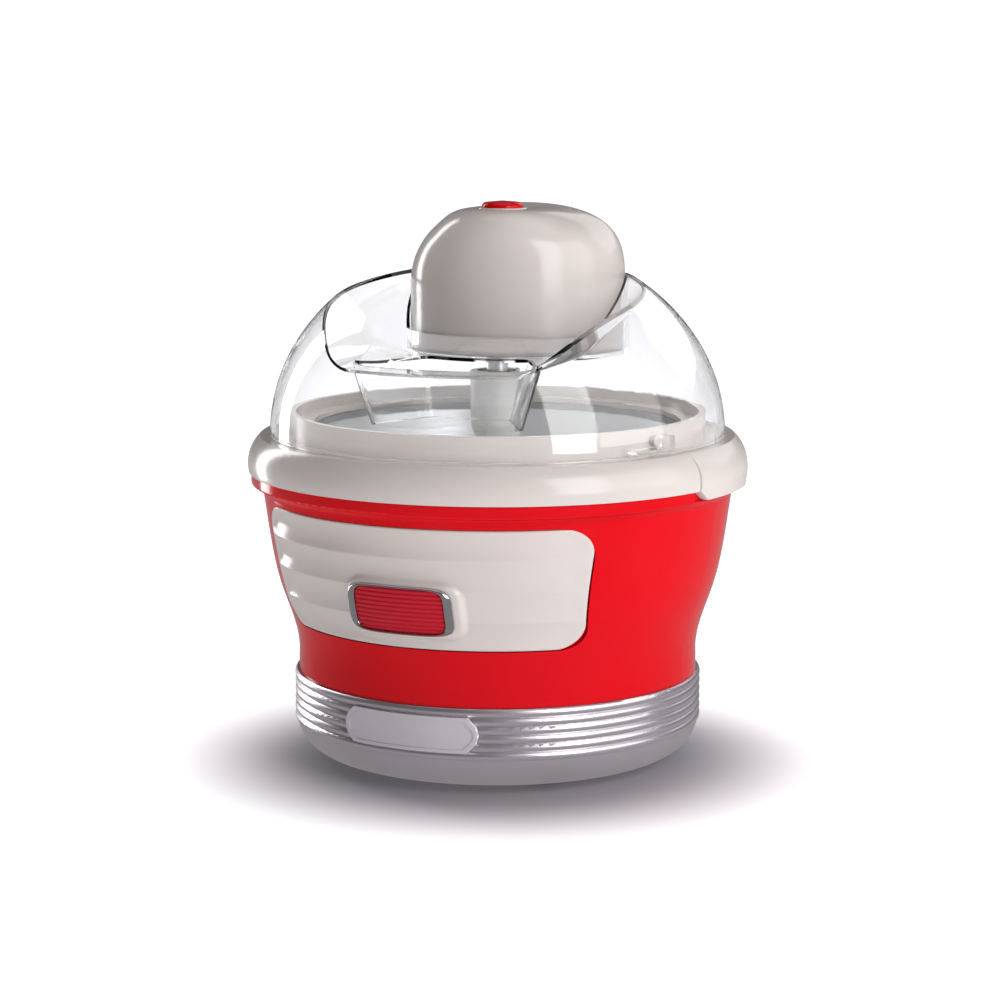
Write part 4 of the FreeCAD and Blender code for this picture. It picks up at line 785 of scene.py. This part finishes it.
# %% [markdown]
# ## The motor cover
# The cover is a round tub with a full, slightly slanted crown, moulded in one piece, with a level seat
# round the red button. A turned shape could give the tub, but the button stands off its middle. So the
# net is spun round the button instead and reaches out to the wall, and the hole comes out round.

# %% Sizes of the cover
cover_low, cover_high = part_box("motor_cover")
button_low, button_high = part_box("power_button")
cover_middle = (cover_low + cover_high) / 2
button_middle = (button_low + button_high) / 2
COVER_RADIUS = (cover_high.x - cover_low.x) / 2
COVER_TALL = 67.0 * MM
BUTTON_HOLE = 10.1 * MM
BUTTON_PROUD = 3.7 * MM
SEAT_LEVEL = button_high.z - BUTTON_PROUD
print("cover radius in mm:", round(COVER_RADIUS / MM, 1))
print("button seat at a height of", round(SEAT_LEVEL / MM, 1), "mm")

# %% [markdown]
# ## The crown
# An even dome takes one power of the distance from the middle: 2 makes half an ellipse, and more makes
# it boxier. This crown is boxier in front and on the right, so the power changes with the direction.
# It also leans up towards the back, and near the button it eases into the level seat.

# %% Height of the crown
CROWN_RISE = 37 * MM
CROWN_FULLNESS = 2.4
FULLER_ASIDE = 0.5
FULLER_IN_FRONT = 1.6
CROWN_SLANT = 0.03
SLANT_TURN = math.radians(4.5)
SEAT_RIM = 1.0 * MM
SEAT_REACH = 22 * MM
slant_way = Vector((-math.sin(SLANT_TURN), math.cos(SLANT_TURN), 0))


def crown_level(x, y):
    """Height of the cover's top above a point of the plan."""
    beside = Vector((x - cover_middle.x, y - cover_middle.y, 0))
    share = min(beside.length / COVER_RADIUS, 1.0)
    backward = beside.dot(slant_way)
    frontness = max(-backward, 0.0) / max(beside.length, MM)
    fullness = CROWN_FULLNESS + FULLER_ASIDE * beside.x / COVER_RADIUS + FULLER_IN_FRONT * frontness ** 2
    crown = CROWN_RISE * (1 - share ** fullness) ** (1 / fullness)
    lean = CROWN_SLANT * backward
    level = cover_low.z + COVER_TALL - CROWN_RISE + crown + lean
    from_button = Vector((x - button_middle.x, y - button_middle.y, 0))
    blend = smooth((from_button.length - BUTTON_HOLE - SEAT_RIM) / SEAT_REACH)
    return SEAT_LEVEL + (level - SEAT_LEVEL) * blend


middle_level = crown_level(cover_middle.x, cover_middle.y)
print("crown over the middle at", round(middle_level / MM, 1), "mm")

# %% Spin the cover round its button
COVER_STEPS = 144
CROWN_BANDS = 70
WALL_BANDS = 12
RIM_CROWDING = 3.0
COVER_WALL = 2.0 * MM


def wall_reach(way):
    """How far the cover's wall is from the button, in one direction."""
    offset = Vector((button_middle.x - cover_middle.x, button_middle.y - cover_middle.y, 0))
    along = offset.dot(way)
    return -along + math.sqrt(along ** 2 - offset.length_squared + COVER_RADIUS ** 2)


def cover_point(column, row):
    """A point of the cover: the bands run out over the crown, crowd at its rim, then run down."""
    turn = 2 * math.pi * column / COVER_STEPS
    way = Vector((math.cos(turn), math.sin(turn), 0))
    reach = wall_reach(way)
    share = min(row / CROWN_BANDS, 1.0)
    out = BUTTON_HOLE + (reach - BUTTON_HOLE) * (1 - (1 - share) ** RIM_CROWDING)
    x = button_middle.x + out * way.x
    y = button_middle.y + out * way.y
    top = crown_level(x, y)
    if row <= CROWN_BANDS:
        return (x, y, top)
    down = (row - CROWN_BANDS) / WALL_BANDS
    return (x, y, top + (cover_low.z - top) * down)


motor_shell = net_piece("motor_shell", COVER_STEPS, CROWN_BANDS + WALL_BANDS, cover_point)
weld(motor_shell)
thicken(motor_shell, COVER_WALL)
settle(motor_shell, "motor_unit", "cream_gloss", cream_plastic, "motor_cover")
print("motor shell has", len(motor_shell.data.polygons), "faces")

# %% [markdown]
# ## The lip round the button
# A thin round lip runs round the hole of the button, half sunk in the seat. Blender has a ready-made
# ring, but a net can make it too: its columns go round the button, and its rows go round the lip.

# %% Lip round the button
LIP_RADIUS = BUTTON_HOLE + 0.7 * MM
LIP_HALF = 0.6 * MM
LIP_STEPS = 96
LIP_SIDES = 12


def lip_point(column, row):
    """A point of the ring that lies half sunk in the seat."""
    turn = 2 * math.pi * column / LIP_STEPS
    roll = 2 * math.pi * row / LIP_SIDES
    out = LIP_RADIUS + LIP_HALF * math.cos(roll)
    x = button_middle.x + out * math.cos(turn)
    y = button_middle.y + out * math.sin(turn)
    return (x, y, SEAT_LEVEL + LIP_HALF * math.sin(roll))


button_lip = net_piece("button_lip", LIP_STEPS, LIP_SIDES, lip_point)
weld(button_lip)
settle(button_lip, "motor_unit", "cream_gloss", cream_plastic)
print("lip radius in mm:", round(LIP_RADIUS / MM, 1))

# %% [markdown]
# ## Dressing the solids
# Every solid names a material slot in its record. One table says which finish each slot wears, and a
# loop hands it to every solid, so a finish is decided once and used everywhere. The plate on the base
# shares the silver slot but is paler than the ribs, so it gets its own silver afterwards.

# %% Hand out the finishes
FINISH_OF_SLOT = {
    "silver": satin_silver,
    "red_gloss": red_plastic,
    "cream_gloss": cream_plastic,
    "chrome_trim": bright_chrome,
    "clear": clear_styrene,
    "rubber": dark_rubber,
    "seal": grey_silicone,
    "steel": plated_steel,
    "bronze": oiled_bronze,
    "bowl_metal": spun_aluminium,
    "grey_plastic": grey_plastic,
    "coolant": frozen_gel,
    "black_plastic": black_plastic,
    "gear_plastic": natural_acetal,
    "white_plastic": white_plastic,
}
slot_of_node = {entry["node"]: entry["material_slot"] for entry in frame["record"]["subparts"]}
for name, solid in nodes.items():
    solid.data.materials.clear()
    solid.data.materials.append(FINISH_OF_SLOT[slot_of_node[name]])
nodes["name_plate"].data.materials[0] = plate_silver
print("dressed", len(nodes), "solids")
